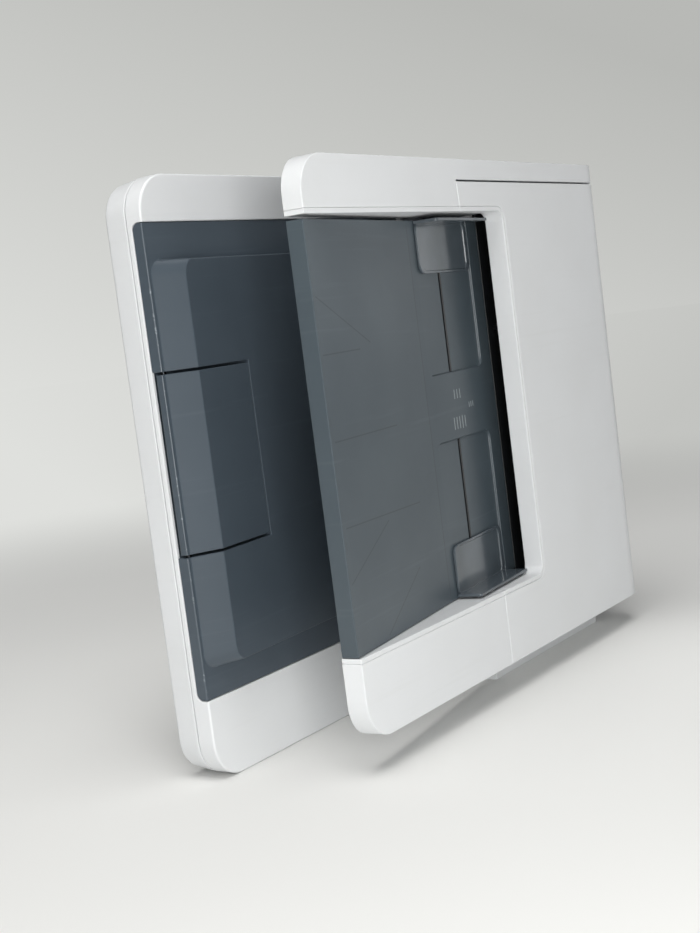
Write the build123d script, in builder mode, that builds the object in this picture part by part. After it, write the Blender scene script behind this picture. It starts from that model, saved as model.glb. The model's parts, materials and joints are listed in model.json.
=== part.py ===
from build123d import *
from math import cos, pi, radians, sin, tan
import os

os.makedirs("parts", exist_ok=True)

# Overall sizes
# The unit stands on its rear edge. u runs from the tray end to the feeder end, v from the rear
# edge up to the front edge, and w out of the lid's face.
LID_LENGTH = 400.0
LID_DEPTH = 330.0
FEEDER_HEIGHT = 87.6
FEEDER_LENGTH = 184.0
RUN_GAP = 0.3
SHAFT_GAP = 0.05
SEAM = 0.1

# Feeder base: a tub on the lid, with a closed box behind it
BASE_START = LID_LENGTH - FEEDER_LENGTH
BASE_TOP = FEEDER_HEIGHT - 30.6
BASE_WALL = 2.4
BASE_FLOOR = 2.5
BOX_END = LID_LENGTH - 28.0
BOX_WALL = 2.2
FAR_WALL = LID_LENGTH - 21.0

# Lines along the depth, from the rear edge to the front one
REAR_V = 19.8
REAR_SEAM_V = 62.6
FRONT_V = LID_DEPTH - 3.2
STRIP_V = FRONT_V - 12.2
FRONT_SEAM_V = STRIP_V - 16.0
MID_V = (REAR_SEAM_V + FRONT_SEAM_V) / 2

# Lid shells
LID_CORNER = 22.0
WALL = 2.4
UPPER_DEPTH = 11.5
LOWER_DEPTH = 16.5
SEAM_GAP = 0.8
DRAFT = 8.0
RECESS_V = (45.7, LID_DEPTH - 25.5)
RECESS_END = BASE_START + 40.0
RECESS_LIP = 7.7
RECESS_CORNER = 4.0
SCREW_U = (40.0, 150.0, LID_LENGTH - 40.0)
SCREW_MARGIN = 16.0
SCREW_R = 1.5
SCREW_HEAD_R = 2.8
SCREW_HEAD = 2.0
SCREW_SINK = 9.0
POST_R = 4.5
BASE_SCREW_V = (REAR_V + 13.2, FRONT_SEAM_V - 2.6)
BASE_SCREW_U = (BASE_START + 20.0, RECESS_END + 12.0, LID_LENGTH - 58.0)
BASE_SCREW_DEPTH = 7.0
FOAM_U = (30.0, LID_LENGTH - 58.0)
FOAM_V = (62.0, LID_DEPTH - 38.0)
FOAM = 3.0
SHEET = 0.6
SHEET_MARGIN = 2.0
SCAN_SLOT_U = (LID_LENGTH - 50.0, LID_LENGTH - 26.0)
SCAN_SLOT_V = (62.0, LID_DEPTH - 32.0)
SCAN_BAR_GAP = 2.0

# Output tray and its flap
TRAY_DROP = 0.6
PLATE = 2.4
TRAY_END = 0.2
WRAP_R = 0.9
PLATFORM_V = (62.5, LID_DEPTH - 45.7)
RAMP_FOOT = 2.5
RAMP_RIDGE = 19.5
PLATFORM_TOP = 9.0
PLATFORM_END = BASE_START - 67.5
PLATFORM_CORNER = 8.5
PLATFORM_DRAFT = 1.0
FLAP_WIDTH = 97.4
FLAP_MID_V = LID_DEPTH / 2 + 10.0
FLAP_V = (FLAP_MID_V - FLAP_WIDTH / 2, FLAP_MID_V + FLAP_WIDTH / 2)
FLAP_END = 67.0
FLAP_GAP = 1.5
FLAP_END_GAP = 1.0
FLAP_SKIN = 2.2
FLAP_LIP = -5.5
FLAP_AXIS = (4.3, -3.2)
FLAP_BARREL_R = 2.6
FLAP_PIN_R = 1.5
POCKET_FLOOR = -8.8
POCKET_WALL = 2.2

# Arms, rails and jam cover
ARM_END = 22.6
ARM_END_DEPTH = 12.6
ARM_CORNER = 21.0
ARM_KNEE = (BASE_START - 26.0, BASE_TOP - 5.0)
ARM_HEEL = BASE_TOP - 11.0
SHELL = 2.5
COVER_START = BASE_START - 32.0
COVER_FRONT_GAP = 1.1
COVER_END = LID_LENGTH - 3.0
COVER_END_R = 25.0
COVER_SEAM = 0.3
SKIRT = BASE_TOP + 0.6
OPENING_U = COVER_START + 56.7
OPENING_R = 9.0
RAIL = 2.7
RAIL_FOOT = BASE_TOP + 3.0
LIP_DEPTH = 12.6
LIP_FLANGE = 2.2
LIP_FLANGE_WIDTH = 5.0
LINER_GAP = 2.3
LINER = 1.6

# Input tray and paper guides
CREASE = (OPENING_U - 89.7, FEEDER_HEIGHT - 18.6)
TRAY_TOP = FEEDER_HEIGHT - 1.4
DECK_ANGLE = 5.0
DECK_END = OPENING_U + 11.9
DECK = 2.4
TRAY_SIDE_GAP = 0.4
TRAY_FRONT_GAP = 2.4
POCKET_S = (7.0, 86.0)
POCKET_SINK = 1.6
POCKET_CORNER = 5.0
SLOT_S = 38.9
SLOT_WIDTH = 3.0
GUIDE_S = (9.4, 85.0)
GUIDE_DEPTH = 31.2
GUIDE_CORNER = 6.0
GUIDE_PLATE = 1.6
GUIDE_WELL = 0.7
GUIDE_FENCE = 1.8
GUIDE_HEIGHT = 16.0
GUIDE_SIDE_GAP = 1.5
GUIDE_FRONT_GAP = 2.9
GUIDE_FENCE_END = 83.2
GUIDE_TRAVEL = 60.0
RACK_DROP = 5.0
RACK = 3.0
RACK_BACK = 5.0
PINION_TEETH = 24
PIVOT_R = 2.5

# Drive
MODULE = 1.0
MESH_GAP = 0.1
SHAFT_R = 3.0
PINCH_SHAFT_R = 2.0
BUSH_R = 4.5
BUSH_FLANGE = 1.2
REAR_FRAME_V = (REAR_SEAM_V - 12.6, REAR_SEAM_V - 10.6)
FRONT_FRAME_V = (FRONT_SEAM_V + 2.4, FRONT_SEAM_V + 4.4)
FRAME_FLANGE = 7.0
FRAME_TOP = FEEDER_HEIGHT - 8.6
GEAR_V = (REAR_FRAME_V[0] - 10.5, REAR_FRAME_V[0] - 3.5)
IDLER_TEETH = 40
TRANSPORT_TEETH = 30
FEED_TEETH = 24
EXIT_TEETH = 24
REGISTER_TEETH = 18
MOTOR_TEETH = 12
IDLER_AXIS = (BASE_START + 89.0, FEEDER_HEIGHT - 51.6)
FEED_R = 12.2
TRANSPORT_R = 15.0
REGISTER_R = 6.0
EXIT_R = 9.0
PINCH_R = 5.0
BAND_WIDTH = 22.0
PICKUP_R = 9.0
PICKUP_REACH = 34.6
PICKUP_ANGLE = 176.9
PULLEY_R = 5.0
BELT = 1.2
MOTOR_R = 15.0
MOTOR_SHAFT_R = 1.2
MOTOR_PLATE = 1.2

# Paper path
GUIDE_SHEET = 2.0
CHUTE = 1.6
SMALL_PIN_R = 1.5
SMALL_BARREL_R = 2.4
EAR = 3.0
FLAG_AXIS = (DECK_END + 17.4, CREASE[1] - 16.5)
FLAG_V = (MID_V + 41.4, MID_V + 44.4)

# Hinges
COVER_AXIS = (COVER_END - 7.0, 9.0)
COVER_PIN_R = 1.6
COVER_KNUCKLE_R = 3.8
COVER_EAR = 6.0
COVER_KNUCKLE = 8.0
LID_AXIS_V = 10.0
LID_AXIS_DROP = 8.5
LID_PIN_R = 2.5
LID_EAR_R = 6.0
LID_EAR = 2.5
BRACKET = 2.0
BRACKET_V = (4.0, 34.0)
LEG_LENGTH = 39.0
LEG_R = 5.5
LEG_HALF_WIDTH = 4.5
LEG_U = (80.0, LID_LENGTH - 80.0)
LEG_SPAN = 30.0
FOOT = 3.0
FOOT_END_V = 30.0
FOOT_HOLE_V = 22.0
FOOT_HOLE_R = 2.1
FOOT_HOLE_SPACING = 18.0

LID_BOTTOM = -(UPPER_DEPTH + LOWER_DEPTH)
LID_AXIS_W = LID_BOTTOM - LID_AXIS_DROP
LEG_FOOT_W = LID_AXIS_W - LEG_LENGTH
MID_W = (FEEDER_HEIGHT + LEG_FOOT_W) / 2


# Places and planes
def place(u, v, w):
    return Vector(u - LID_LENGTH / 2, MID_W - w, v)


def face(w):
    """A plane along the lid's face: sketches are drawn in u and v, and grow in w."""
    return Plane(origin=place(0, 0, w), x_dir=(1, 0, 0), z_dir=(0, -1, 0))


def section(v):
    """A plane across the depth: sketches are drawn in u and w, and grow towards the rear."""
    return Plane(origin=place(0, v, 0), x_dir=(1, 0, 0), z_dir=(0, 0, -1))


def end(u):
    """A plane across the length: sketches are drawn in v and w, and grow in u."""
    return Plane(origin=place(u, 0, 0), x_dir=(0, 0, 1), z_dir=(1, 0, 0))


def deck(height):
    """A plane along the sloping deck: sketches are drawn in s, measured from the crease, and v."""
    a = radians(DECK_ANGLE)
    origin = place(CREASE[0] + height * sin(a), 0, CREASE[1] + height * cos(a))
    return Plane(origin=origin, x_dir=(cos(a), sin(a), 0), z_dir=(sin(a), -cos(a), 0))


def on_deck(s, height):
    """The point in u and w that lies at s along the sloping deck, at a height above it."""
    a = radians(DECK_ANGLE)
    u = CREASE[0] + s * cos(a) + height * sin(a)
    return (u, CREASE[1] - s * sin(a) + height * cos(a))


def on_floor(s, height):
    """As on_deck, above the floor of the pockets, which sinks towards the feeder."""
    return on_deck(s, height - POCKET_SINK * (s - POCKET_S[0]) / (POCKET_S[1] - POCKET_S[0]))


def deck_w(u):
    return CREASE[1] - (u - CREASE[0]) * tan(radians(DECK_ANGLE))


def polar(centre, distance, angle):
    return (centre[0] + distance * cos(radians(angle)), centre[1] + distance * sin(radians(angle)))


# Shapes that repeat
def block(u, v, w, mode=Mode.ADD):
    with BuildSketch(face(w[0])) as sketch:
        with Locations(((u[0] + u[1]) / 2, (v[0] + v[1]) / 2)):
            Rectangle(u[1] - u[0], v[1] - v[0])
    extrude(sketch.sketch, amount=w[1] - w[0], mode=mode)


def round_block(u, v, w, radius, mode=Mode.ADD):
    with BuildSketch(face(w[0])) as sketch:
        with Locations(((u[0] + u[1]) / 2, (v[0] + v[1]) / 2)):
            RectangleRounded(u[1] - u[0], v[1] - v[0], radius)
    extrude(sketch.sketch, amount=w[1] - w[0], mode=mode)


def slab(outline, v, mode=Mode.ADD):
    with BuildSketch(section(v[1])) as sketch:
        with BuildLine():
            Polyline(*outline, close=True)
        make_face()
    extrude(sketch.sketch, amount=v[1] - v[0], mode=mode)


def rod(centre, radius, v, mode=Mode.ADD):
    with BuildSketch(section(v[1])) as sketch:
        with Locations(centre):
            Circle(radius)
    extrude(sketch.sketch, amount=v[1] - v[0], mode=mode)


def stud(centre, radius, w, mode=Mode.ADD):
    with BuildSketch(face(w[0])) as sketch:
        with Locations(centre):
            Circle(radius)
    extrude(sketch.sketch, amount=w[1] - w[0], mode=mode)


def cross_rod(centre, radius, u, mode=Mode.ADD):
    with BuildSketch(end(u[0])) as sketch:
        with Locations(centre):
            Circle(radius)
    extrude(sketch.sketch, amount=u[1] - u[0], mode=mode)


def inset(pair, amount):
    return (pair[0] + amount, pair[1] - amount)


# Lid shells
screw_places = [(u, v) for u in SCREW_U for v in (SCREW_MARGIN, LID_DEPTH - SCREW_MARGIN)]
lid_centre = (LID_LENGTH / 2, LID_DEPTH / 2)
screw_seat = LID_BOTTOM + SCREW_SINK
base_screw_places = [
    (BASE_SCREW_U[0], BASE_SCREW_V[0]),
    (BASE_SCREW_U[1], BASE_SCREW_V[1]),
    (BASE_SCREW_U[2], BASE_SCREW_V[0]),
    (BASE_SCREW_U[2], BASE_SCREW_V[1]),
]

with BuildPart() as lid_lower_shell:
    with BuildSketch(face(-UPPER_DEPTH)):
        with Locations(lid_centre):
            RectangleRounded(LID_LENGTH, LID_DEPTH, LID_CORNER)
    extrude(amount=-LOWER_DEPTH, taper=DRAFT)
    fillet(faces().sort_by(Axis.Y)[-1].edges(), radius=3.0)
    with BuildSketch(face(-UPPER_DEPTH)):
        with Locations(lid_centre):
            RectangleRounded(LID_LENGTH - 2 * WALL, LID_DEPTH - 2 * WALL, LID_CORNER - WALL)
    extrude(amount=-(LOWER_DEPTH - WALL), taper=DRAFT, mode=Mode.SUBTRACT)
    for spot in screw_places:
        stud(spot, POST_R, (LID_BOTTOM + WALL / 2, -UPPER_DEPTH))
    for spot in screw_places:
        stud(spot, SCREW_R + SHAFT_GAP, (screw_seat, 0), Mode.SUBTRACT)
        stud(spot, SCREW_HEAD_R + RUN_GAP, (LID_BOTTOM - 1, screw_seat), Mode.SUBTRACT)
    block(SCAN_SLOT_U, SCAN_SLOT_V, (LID_BOTTOM - 1, LID_BOTTOM + WALL + 1), Mode.SUBTRACT)
lid_lower_shell.part.label = "lid_lower_shell"
export_step(lid_lower_shell.part, "parts/lid_lower_shell.step")

with BuildPart() as lid_upper_shell:
    with BuildSketch(face(-UPPER_DEPTH + SEAM_GAP)):
        with Locations(lid_centre):
            RectangleRounded(LID_LENGTH, LID_DEPTH, LID_CORNER)
    extrude(amount=UPPER_DEPTH - SEAM_GAP)
    fillet(faces().sort_by(Axis.Y)[0].edges(), radius=1.2)
    with BuildSketch(face(-UPPER_DEPTH + SEAM_GAP)):
        with Locations(lid_centre):
            RectangleRounded(LID_LENGTH - 2 * WALL, LID_DEPTH - 2 * WALL, LID_CORNER - WALL)
    extrude(amount=UPPER_DEPTH - SEAM_GAP - WALL, mode=Mode.SUBTRACT)
    for spot in screw_places:
        stud(spot, POST_R - 1, (-UPPER_DEPTH, -WALL))
        stud(spot, SCREW_R + SHAFT_GAP, (-UPPER_DEPTH, -UPPER_DEPTH + 8), Mode.SUBTRACT)
    for spot in base_screw_places:
        stud(spot, POST_R - 1, (-BASE_SCREW_DEPTH - 1.5, -WALL))
        stud(spot, SCREW_R + SHAFT_GAP, (-BASE_SCREW_DEPTH - 0.5, 1), Mode.SUBTRACT)
    block((WALL / 2, RECESS_END), RECESS_V, (-WALL - 0.01, 1), Mode.SUBTRACT)
    with BuildSketch(end(-1)):
        with Locations(((RECESS_V[0] + RECESS_V[1]) / 2, 10 - RECESS_LIP)):
            RectangleRounded(RECESS_V[1] - RECESS_V[0], 20, RECESS_CORNER)
    extrude(amount=1 + WALL + 0.01, mode=Mode.SUBTRACT)
    block(SCAN_SLOT_U, SCAN_SLOT_V, (-WALL - 1, 1), Mode.SUBTRACT)
lid_upper_shell.part.label = "lid_upper_shell"
export_step(lid_upper_shell.part, "parts/lid_upper_shell.step")

with BuildPart() as lid_screws:
    for spot in screw_places:
        stud(spot, SCREW_HEAD_R, (screw_seat - SCREW_HEAD, screw_seat))
        stud(spot, SCREW_R, (screw_seat, -UPPER_DEPTH + 7))
        stud(spot, 1.2, (screw_seat - SCREW_HEAD, screw_seat - 0.8), Mode.SUBTRACT)
lid_screws.part.label = "lid_screws"
export_step(lid_screws.part, "parts/lid_screws.step")

with BuildPart() as backing_foam:
    round_block(FOAM_U, FOAM_V, (LID_BOTTOM - FOAM, LID_BOTTOM), 3.0)
backing_foam.part.label = "backing_foam"
export_step(backing_foam.part, "parts/backing_foam.step")

with BuildPart() as backing_sheet:
    sheet_w = (LID_BOTTOM - FOAM - SHEET, LID_BOTTOM - FOAM)
    round_block(inset(FOAM_U, -SHEET_MARGIN), inset(FOAM_V, -SHEET_MARGIN), sheet_w, 4.0)
backing_sheet.part.label = "backing_sheet"
export_step(backing_sheet.part, "parts/backing_sheet.step")

scan_bar_w = (LID_BOTTOM - 1.0, LID_BOTTOM + 5.0)
with BuildPart() as scan_bar:
    bar_v = inset(SCAN_SLOT_V, SCAN_BAR_GAP)
    bar_flange_w = (LID_BOTTOM + WALL + 0.2, scan_bar_w[1])
    block(inset(SCAN_SLOT_U, SCAN_BAR_GAP), bar_v, scan_bar_w)
    block(inset(SCAN_SLOT_U, -SCAN_BAR_GAP), bar_v, bar_flange_w)
    fillet(faces().sort_by(Axis.Y)[-1].edges().filter_by(Axis.Z), radius=2.0)
scan_bar.part.label = "scan_bar"
export_step(scan_bar.part, "parts/scan_bar.step")

# Output tray
ramp_slope = (PLATFORM_TOP + TRAY_DROP) / (RAMP_RIDGE - RAMP_FOOT)
top_fall = (PLATFORM_TOP + TRAY_DROP) / (PLATFORM_END - RAMP_RIDGE)


def top_w(u):
    """The height of the platform's top, which falls from its ridge towards the feeder."""
    return PLATFORM_TOP - (u - RAMP_RIDGE) * top_fall


def platform(sink):
    """The raised platform with its ramp, as a body whose walls lie the given depth inside."""
    top = PLATFORM_TOP - sink
    low = -TRAY_DROP - sink - 0.01
    shift = sink * (1 + ramp_slope**2) ** 0.5 / ramp_slope
    foot = RAMP_FOOT + shift + (low + TRAY_DROP) / ramp_slope
    ridge = RAMP_FOOT + shift + (top + TRAY_DROP) / ramp_slope
    tail = PLATFORM_END + 2 * PLATFORM_CORNER
    sketches = []
    for start, w, narrow in ((foot, low, 0.0), (ridge, top, PLATFORM_DRAFT)):
        with BuildSketch(face(w)) as outline:
            wide_v = inset(PLATFORM_V, sink + narrow)
            with Locations(((start + tail) / 2, (wide_v[0] + wide_v[1]) / 2)):
                RectangleRounded(tail - start, wide_v[1] - wide_v[0], PLATFORM_CORNER - sink)
        sketches.append(outline.sketch.face())
    with BuildPart() as body:
        loft(sketches, ruled=True)
        under_top = [
            (RAMP_FOOT - 9, low - 1),
            (RAMP_FOOT - 9, top_w(RAMP_FOOT - 9) - sink),
            (PLATFORM_END + 9, top_w(PLATFORM_END + 9) - sink),
            (PLATFORM_END + 9, low - 1),
        ]
        slab(under_top, (0, LID_DEPTH), Mode.INTERSECT)
    return body.part


pocket_v = inset(FLAP_V, -FLAP_GAP)
pocket_wall_v = inset(pocket_v, -POCKET_WALL)
pocket_end = FLAP_END + FLAP_END_GAP
pocket_wall_end = pocket_end + POCKET_WALL
pocket_low = POCKET_FLOOR - 1.8
pocket_rim = -RECESS_LIP + RUN_GAP
tray_tail = RECESS_END + 3.0
tray_low_w = -TRAY_DROP - PLATE
pocket_side = [
    (TRAY_END, pocket_rim),
    (TRAY_END, -TRAY_DROP - WRAP_R / 3),
    (TRAY_END + WRAP_R / 3, -TRAY_DROP),
    (RAMP_FOOT, -TRAY_DROP),
    (RAMP_RIDGE, PLATFORM_TOP),
    (pocket_wall_end, top_w(pocket_wall_end)),
    (pocket_wall_end, pocket_low),
    (WALL + RUN_GAP, pocket_low),
    (WALL + RUN_GAP, pocket_rim),
]
pocket_back = [
    (pocket_end, pocket_low),
    (pocket_end, top_w(pocket_end)),
    (pocket_wall_end, top_w(pocket_wall_end)),
    (pocket_wall_end, pocket_low),
]

with BuildPart() as output_tray:
    tray_v = inset(RECESS_V, RUN_GAP)
    with BuildSketch(section(tray_v[1])):
        with BuildLine():
            Polyline(
                (TRAY_END, pocket_rim),
                (TRAY_END, -TRAY_DROP),
                (RECESS_END - RUN_GAP, -TRAY_DROP),
                (RECESS_END - RUN_GAP, tray_low_w),
                (TRAY_END + PLATE, tray_low_w),
                (TRAY_END + PLATE, pocket_rim),
                close=True,
            )
        make_face()
        fillet(vertices().group_by(Axis.X)[0].sort_by(Axis.Y)[-1], radius=WRAP_R)
    extrude(amount=tray_v[1] - tray_v[0])
    wrap_corners = edges().filter_by(Axis.X).group_by(Axis.Y)[-1]
    fillet(wrap_corners, radius=RECESS_CORNER - RUN_GAP)
    block((WALL + 1, tray_tail), inset(RECESS_V, -4), (-WALL - PLATE, -WALL))
    add(platform(0))
    add(platform(PLATE), mode=Mode.SUBTRACT)
    block((-1, pocket_end), pocket_v, (-20, 30), Mode.SUBTRACT)
    block((-1, WALL + RUN_GAP), pocket_wall_v, (-20, pocket_rim), Mode.SUBTRACT)
    slab(pocket_side, (pocket_wall_v[0], pocket_v[0]))
    slab(pocket_side, (pocket_v[1], pocket_wall_v[1]))
    block((WALL + RUN_GAP, pocket_end), pocket_v, (pocket_low, POCKET_FLOOR))
    slab(pocket_back, pocket_v)
    rod(FLAP_AXIS, FLAP_PIN_R + SHAFT_GAP, inset(pocket_wall_v, -1), Mode.SUBTRACT)
output_tray.part.label = "output_tray"
export_step(output_tray.part, "parts/output_tray.step")

with BuildPart() as output_flap:
    slab(
        [
            (TRAY_END, FLAP_LIP + 0.8),
            (TRAY_END, -TRAY_DROP - WRAP_R / 3),
            (TRAY_END + WRAP_R / 3, -TRAY_DROP),
            (RAMP_FOOT, -TRAY_DROP),
            (RAMP_RIDGE, PLATFORM_TOP),
            (FLAP_END, top_w(FLAP_END)),
            (FLAP_END, top_w(FLAP_END) - FLAP_SKIN),
            (RAMP_RIDGE + 0.5, PLATFORM_TOP - FLAP_SKIN),
            (FLAP_AXIS[0] + 1.0, -TRAY_DROP - FLAP_SKIN),
            (TRAY_END + 1.6, -TRAY_DROP - FLAP_SKIN),
            (TRAY_END + 1.6, FLAP_LIP),
            (TRAY_END + 0.8, FLAP_LIP),
        ],
        FLAP_V,
    )
    rod(FLAP_AXIS, FLAP_BARREL_R, FLAP_V)
    rod(FLAP_AXIS, FLAP_PIN_R + SHAFT_GAP, inset(FLAP_V, -1), Mode.SUBTRACT)
output_flap.part.label = "output_flap"
export_step(output_flap.part, "parts/output_flap.step")

with BuildPart() as flap_pin:
    rod(FLAP_AXIS, FLAP_PIN_R, pocket_wall_v)
flap_pin.part.label = "flap_pin"
export_step(flap_pin.part, "parts/flap_pin.step")

# Feeder base
base_rear_v = REAR_V + SHELL + RUN_GAP
base_front_v = STRIP_V - SHELL - COVER_FRONT_GAP - RUN_GAP
far_wall = (FAR_WALL, FAR_WALL + BASE_WALL)
side_rear_v = (RECESS_V[0] - 4, RECESS_V[0] - 2)
side_front_v = (RECESS_V[1] + 1, RECESS_V[1] + 3)
ear_rear_v = (REAR_V + 10.2, REAR_V + 10.2 + COVER_EAR)
ear_front_v = (FRONT_SEAM_V - 2.6, FRONT_SEAM_V - 2.6 + COVER_EAR)

with BuildPart() as feeder_base:
    block((RECESS_END, far_wall[1]), (base_rear_v, base_front_v), (0, BASE_FLOOR))
    block((far_wall[0], COVER_END - 1), (base_rear_v, base_front_v), (0, 1.2))
    block((BASE_START, RECESS_END), (base_rear_v, side_rear_v[1]), (0, BASE_FLOOR))
    block((BASE_START, RECESS_END), (side_front_v[0], base_front_v), (0, BASE_FLOOR))
    block((BASE_START, BOX_END), (0, base_rear_v), (0, BASE_TOP))
    box_hollow_u = inset((BASE_START, BOX_END), BOX_WALL)
    box_hollow_w = inset((0, BASE_TOP), BOX_WALL)
    block(box_hollow_u, (BOX_WALL, base_rear_v + 1), box_hollow_w, Mode.SUBTRACT)
    block((BASE_START, far_wall[1]), (base_rear_v, base_rear_v + BASE_WALL), (0, BASE_TOP))
    block((BASE_START, far_wall[1]), (base_front_v - BASE_WALL, base_front_v), (0, BASE_TOP))
    block(far_wall, (base_rear_v, base_front_v), (0, BASE_TOP))
    exit_lintel_w = (BASE_TOP - 19.0, BASE_TOP - 1.5)
    block((RECESS_END, RECESS_END + BASE_WALL), (base_rear_v, base_front_v), exit_lintel_w)
    block((BASE_START, BASE_START + 2), (base_rear_v, side_rear_v[1]), (0, BASE_TOP))
    block((BASE_START, BASE_START + 2), (side_front_v[0], base_front_v), (0, BASE_TOP))
    block((BASE_START, RECESS_END), side_rear_v, (0, BASE_TOP))
    block((BASE_START, RECESS_END), side_front_v, (0, BASE_TOP))
    block(SCAN_SLOT_U, SCAN_SLOT_V, (-1, BASE_FLOOR + 1), Mode.SUBTRACT)
    for ear_v in (ear_rear_v, ear_front_v):
        ear_w = (COVER_AXIS[1] - COVER_KNUCKLE_R, COVER_AXIS[1] + COVER_KNUCKLE_R)
        block((far_wall[0], COVER_AXIS[0]), ear_v, ear_w)
        rod(COVER_AXIS, COVER_KNUCKLE_R, ear_v)
        rod(COVER_AXIS, COVER_PIN_R + SHAFT_GAP, inset(ear_v, -1), Mode.SUBTRACT)
    for spot in base_screw_places:
        stud(spot, SCREW_R + SHAFT_GAP, (-1, BASE_FLOOR + 1), Mode.SUBTRACT)
feeder_base.part.label = "feeder_base"
export_step(feeder_base.part, "parts/feeder_base.step")

# Arms and rails
arm_low = FEEDER_HEIGHT - ARM_END_DEPTH
arm_stop = COVER_START - COVER_SEAM / 2
arm_hollow = [
    (ARM_END + ARM_CORNER, arm_low + 1.2),
    (ARM_END + ARM_CORNER, FEEDER_HEIGHT - SHELL),
    (arm_stop - SHELL, FEEDER_HEIGHT - SHELL),
    (arm_stop - SHELL, ARM_KNEE[1] + 3.5),
]

with BuildPart() as front_arm:
    with BuildSketch(section(FRONT_V)):
        with BuildLine():
            Polyline(
                (ARM_END, arm_low),
                (ARM_END, FEEDER_HEIGHT),
                (COVER_END, FEEDER_HEIGHT),
                (COVER_END, 0),
                (BASE_START, 0),
                (BASE_START, ARM_HEEL),
                ARM_KNEE,
                close=True,
            )
        make_face()
        fillet(vertices().group_by(Axis.X)[-1].sort_by(Axis.Y)[-1], radius=COVER_END_R)
    extrude(amount=FRONT_V - FRONT_SEAM_V)
    cover_side = [(arm_stop, -1), (arm_stop, 100), (COVER_END + 1, 100), (COVER_END + 1, -1)]
    slab(cover_side, (FRONT_SEAM_V - 1, STRIP_V), Mode.SUBTRACT)
    fillet(edges().filter_by(Axis.Y).group_by(Axis.X)[0].sort_by(Axis.Z)[-1], radius=ARM_CORNER)
    hollow_v = (FRONT_SEAM_V + SHELL, FRONT_V - SHELL)
    slab(arm_hollow, hollow_v, Mode.SUBTRACT)
    slab(
        [
            (arm_stop + 2, ARM_KNEE[1] + 3.5),
            (arm_stop + 2, FEEDER_HEIGHT - SHELL),
            (COVER_END - COVER_END_R - SHELL, FEEDER_HEIGHT - SHELL),
            (COVER_END - SHELL, FEEDER_HEIGHT - COVER_END_R),
            (COVER_END - SHELL, SHELL),
            (BASE_START + SHELL, SHELL),
            (BASE_START + SHELL, ARM_KNEE[1]),
        ],
        (STRIP_V - 1, FRONT_V - SHELL),
        Mode.SUBTRACT,
    )
front_arm.part.label = "front_arm"
export_step(front_arm.part, "parts/front_arm.step")

with BuildPart() as rear_arm:
    slab(
        [
            (ARM_END, arm_low),
            (ARM_END, FEEDER_HEIGHT),
            (arm_stop, FEEDER_HEIGHT),
            (arm_stop, SKIRT - RUN_GAP * 2),
            (BASE_START, SKIRT - RUN_GAP * 2),
            (BASE_START, ARM_HEEL),
            ARM_KNEE,
        ],
        (REAR_V, REAR_SEAM_V),
    )
    fillet(edges().filter_by(Axis.Y).group_by(Axis.X)[0].sort_by(Axis.Z)[0], radius=ARM_CORNER)
    slab(arm_hollow, inset((REAR_V, REAR_SEAM_V), SHELL), Mode.SUBTRACT)
rear_arm.part.label = "rear_arm"
export_step(rear_arm.part, "parts/rear_arm.step")

rail_outline = [
    (ARM_END + 0.2, arm_low),
    (ARM_END + 0.2, FEEDER_HEIGHT),
    (arm_stop, FEEDER_HEIGHT),
    (arm_stop, RAIL_FOOT),
    (CREASE[0] - 11, RAIL_FOOT),
]
rear_rail_v = (REAR_SEAM_V + SEAM, REAR_SEAM_V + SEAM + RAIL)
front_rail_v = (FRONT_SEAM_V - SEAM - RAIL, FRONT_SEAM_V - SEAM)
for name, rail_v in (("rear_rail", rear_rail_v), ("front_rail", front_rail_v)):
    with BuildPart() as rail:
        slab(rail_outline, rail_v)
    rail.part.label = name
    export_step(rail.part, f"parts/{name}.step")

# Input tray
tray_v = (rear_rail_v[1] + TRAY_SIDE_GAP, front_rail_v[0] - TRAY_FRONT_GAP)
tray_low = arm_low + 0.4
pocket_end_v = MID_V - 20.6
guide_rear_v = (rear_rail_v[1] + GUIDE_SIDE_GAP, rear_rail_v[1] + GUIDE_SIDE_GAP + GUIDE_DEPTH)
guide_front_end = front_rail_v[0] - GUIDE_FRONT_GAP
guide_front_v = (guide_front_end - GUIDE_DEPTH, guide_front_end)
post_v = (guide_rear_v[1] - 8.0, guide_rear_v[1] - 1.5)
pocket_ranges = (
    (tray_v[0] - POCKET_CORNER, pocket_end_v),
    (2 * MID_V - pocket_end_v, tray_v[1] + POCKET_CORNER),
)
slot_ranges = (
    (post_v[0] - 1, pocket_end_v),
    (2 * MID_V - pocket_end_v, 2 * MID_V - post_v[0] + 1),
)


def wedge(s_range, low, high, v, radius):
    """A plate above the pocket floor between two heights, with rounded corners."""
    with BuildPart() as plate:
        with BuildSketch(deck(-6)) as outline:
            with Locations((sum(s_range) / 2, sum(v) / 2)):
                RectangleRounded(s_range[1] - s_range[0], v[1] - v[0], radius)
        extrude(outline.sketch, amount=16)
        ends = (s_range[0] - 1, s_range[1] + 1)
        corners = [(ends[0], low), (ends[1], low), (ends[1], high), (ends[0], high)]
        slab([on_floor(*corner) for corner in corners], inset(v, -1), Mode.INTERSECT)
    return plate.part


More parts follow.
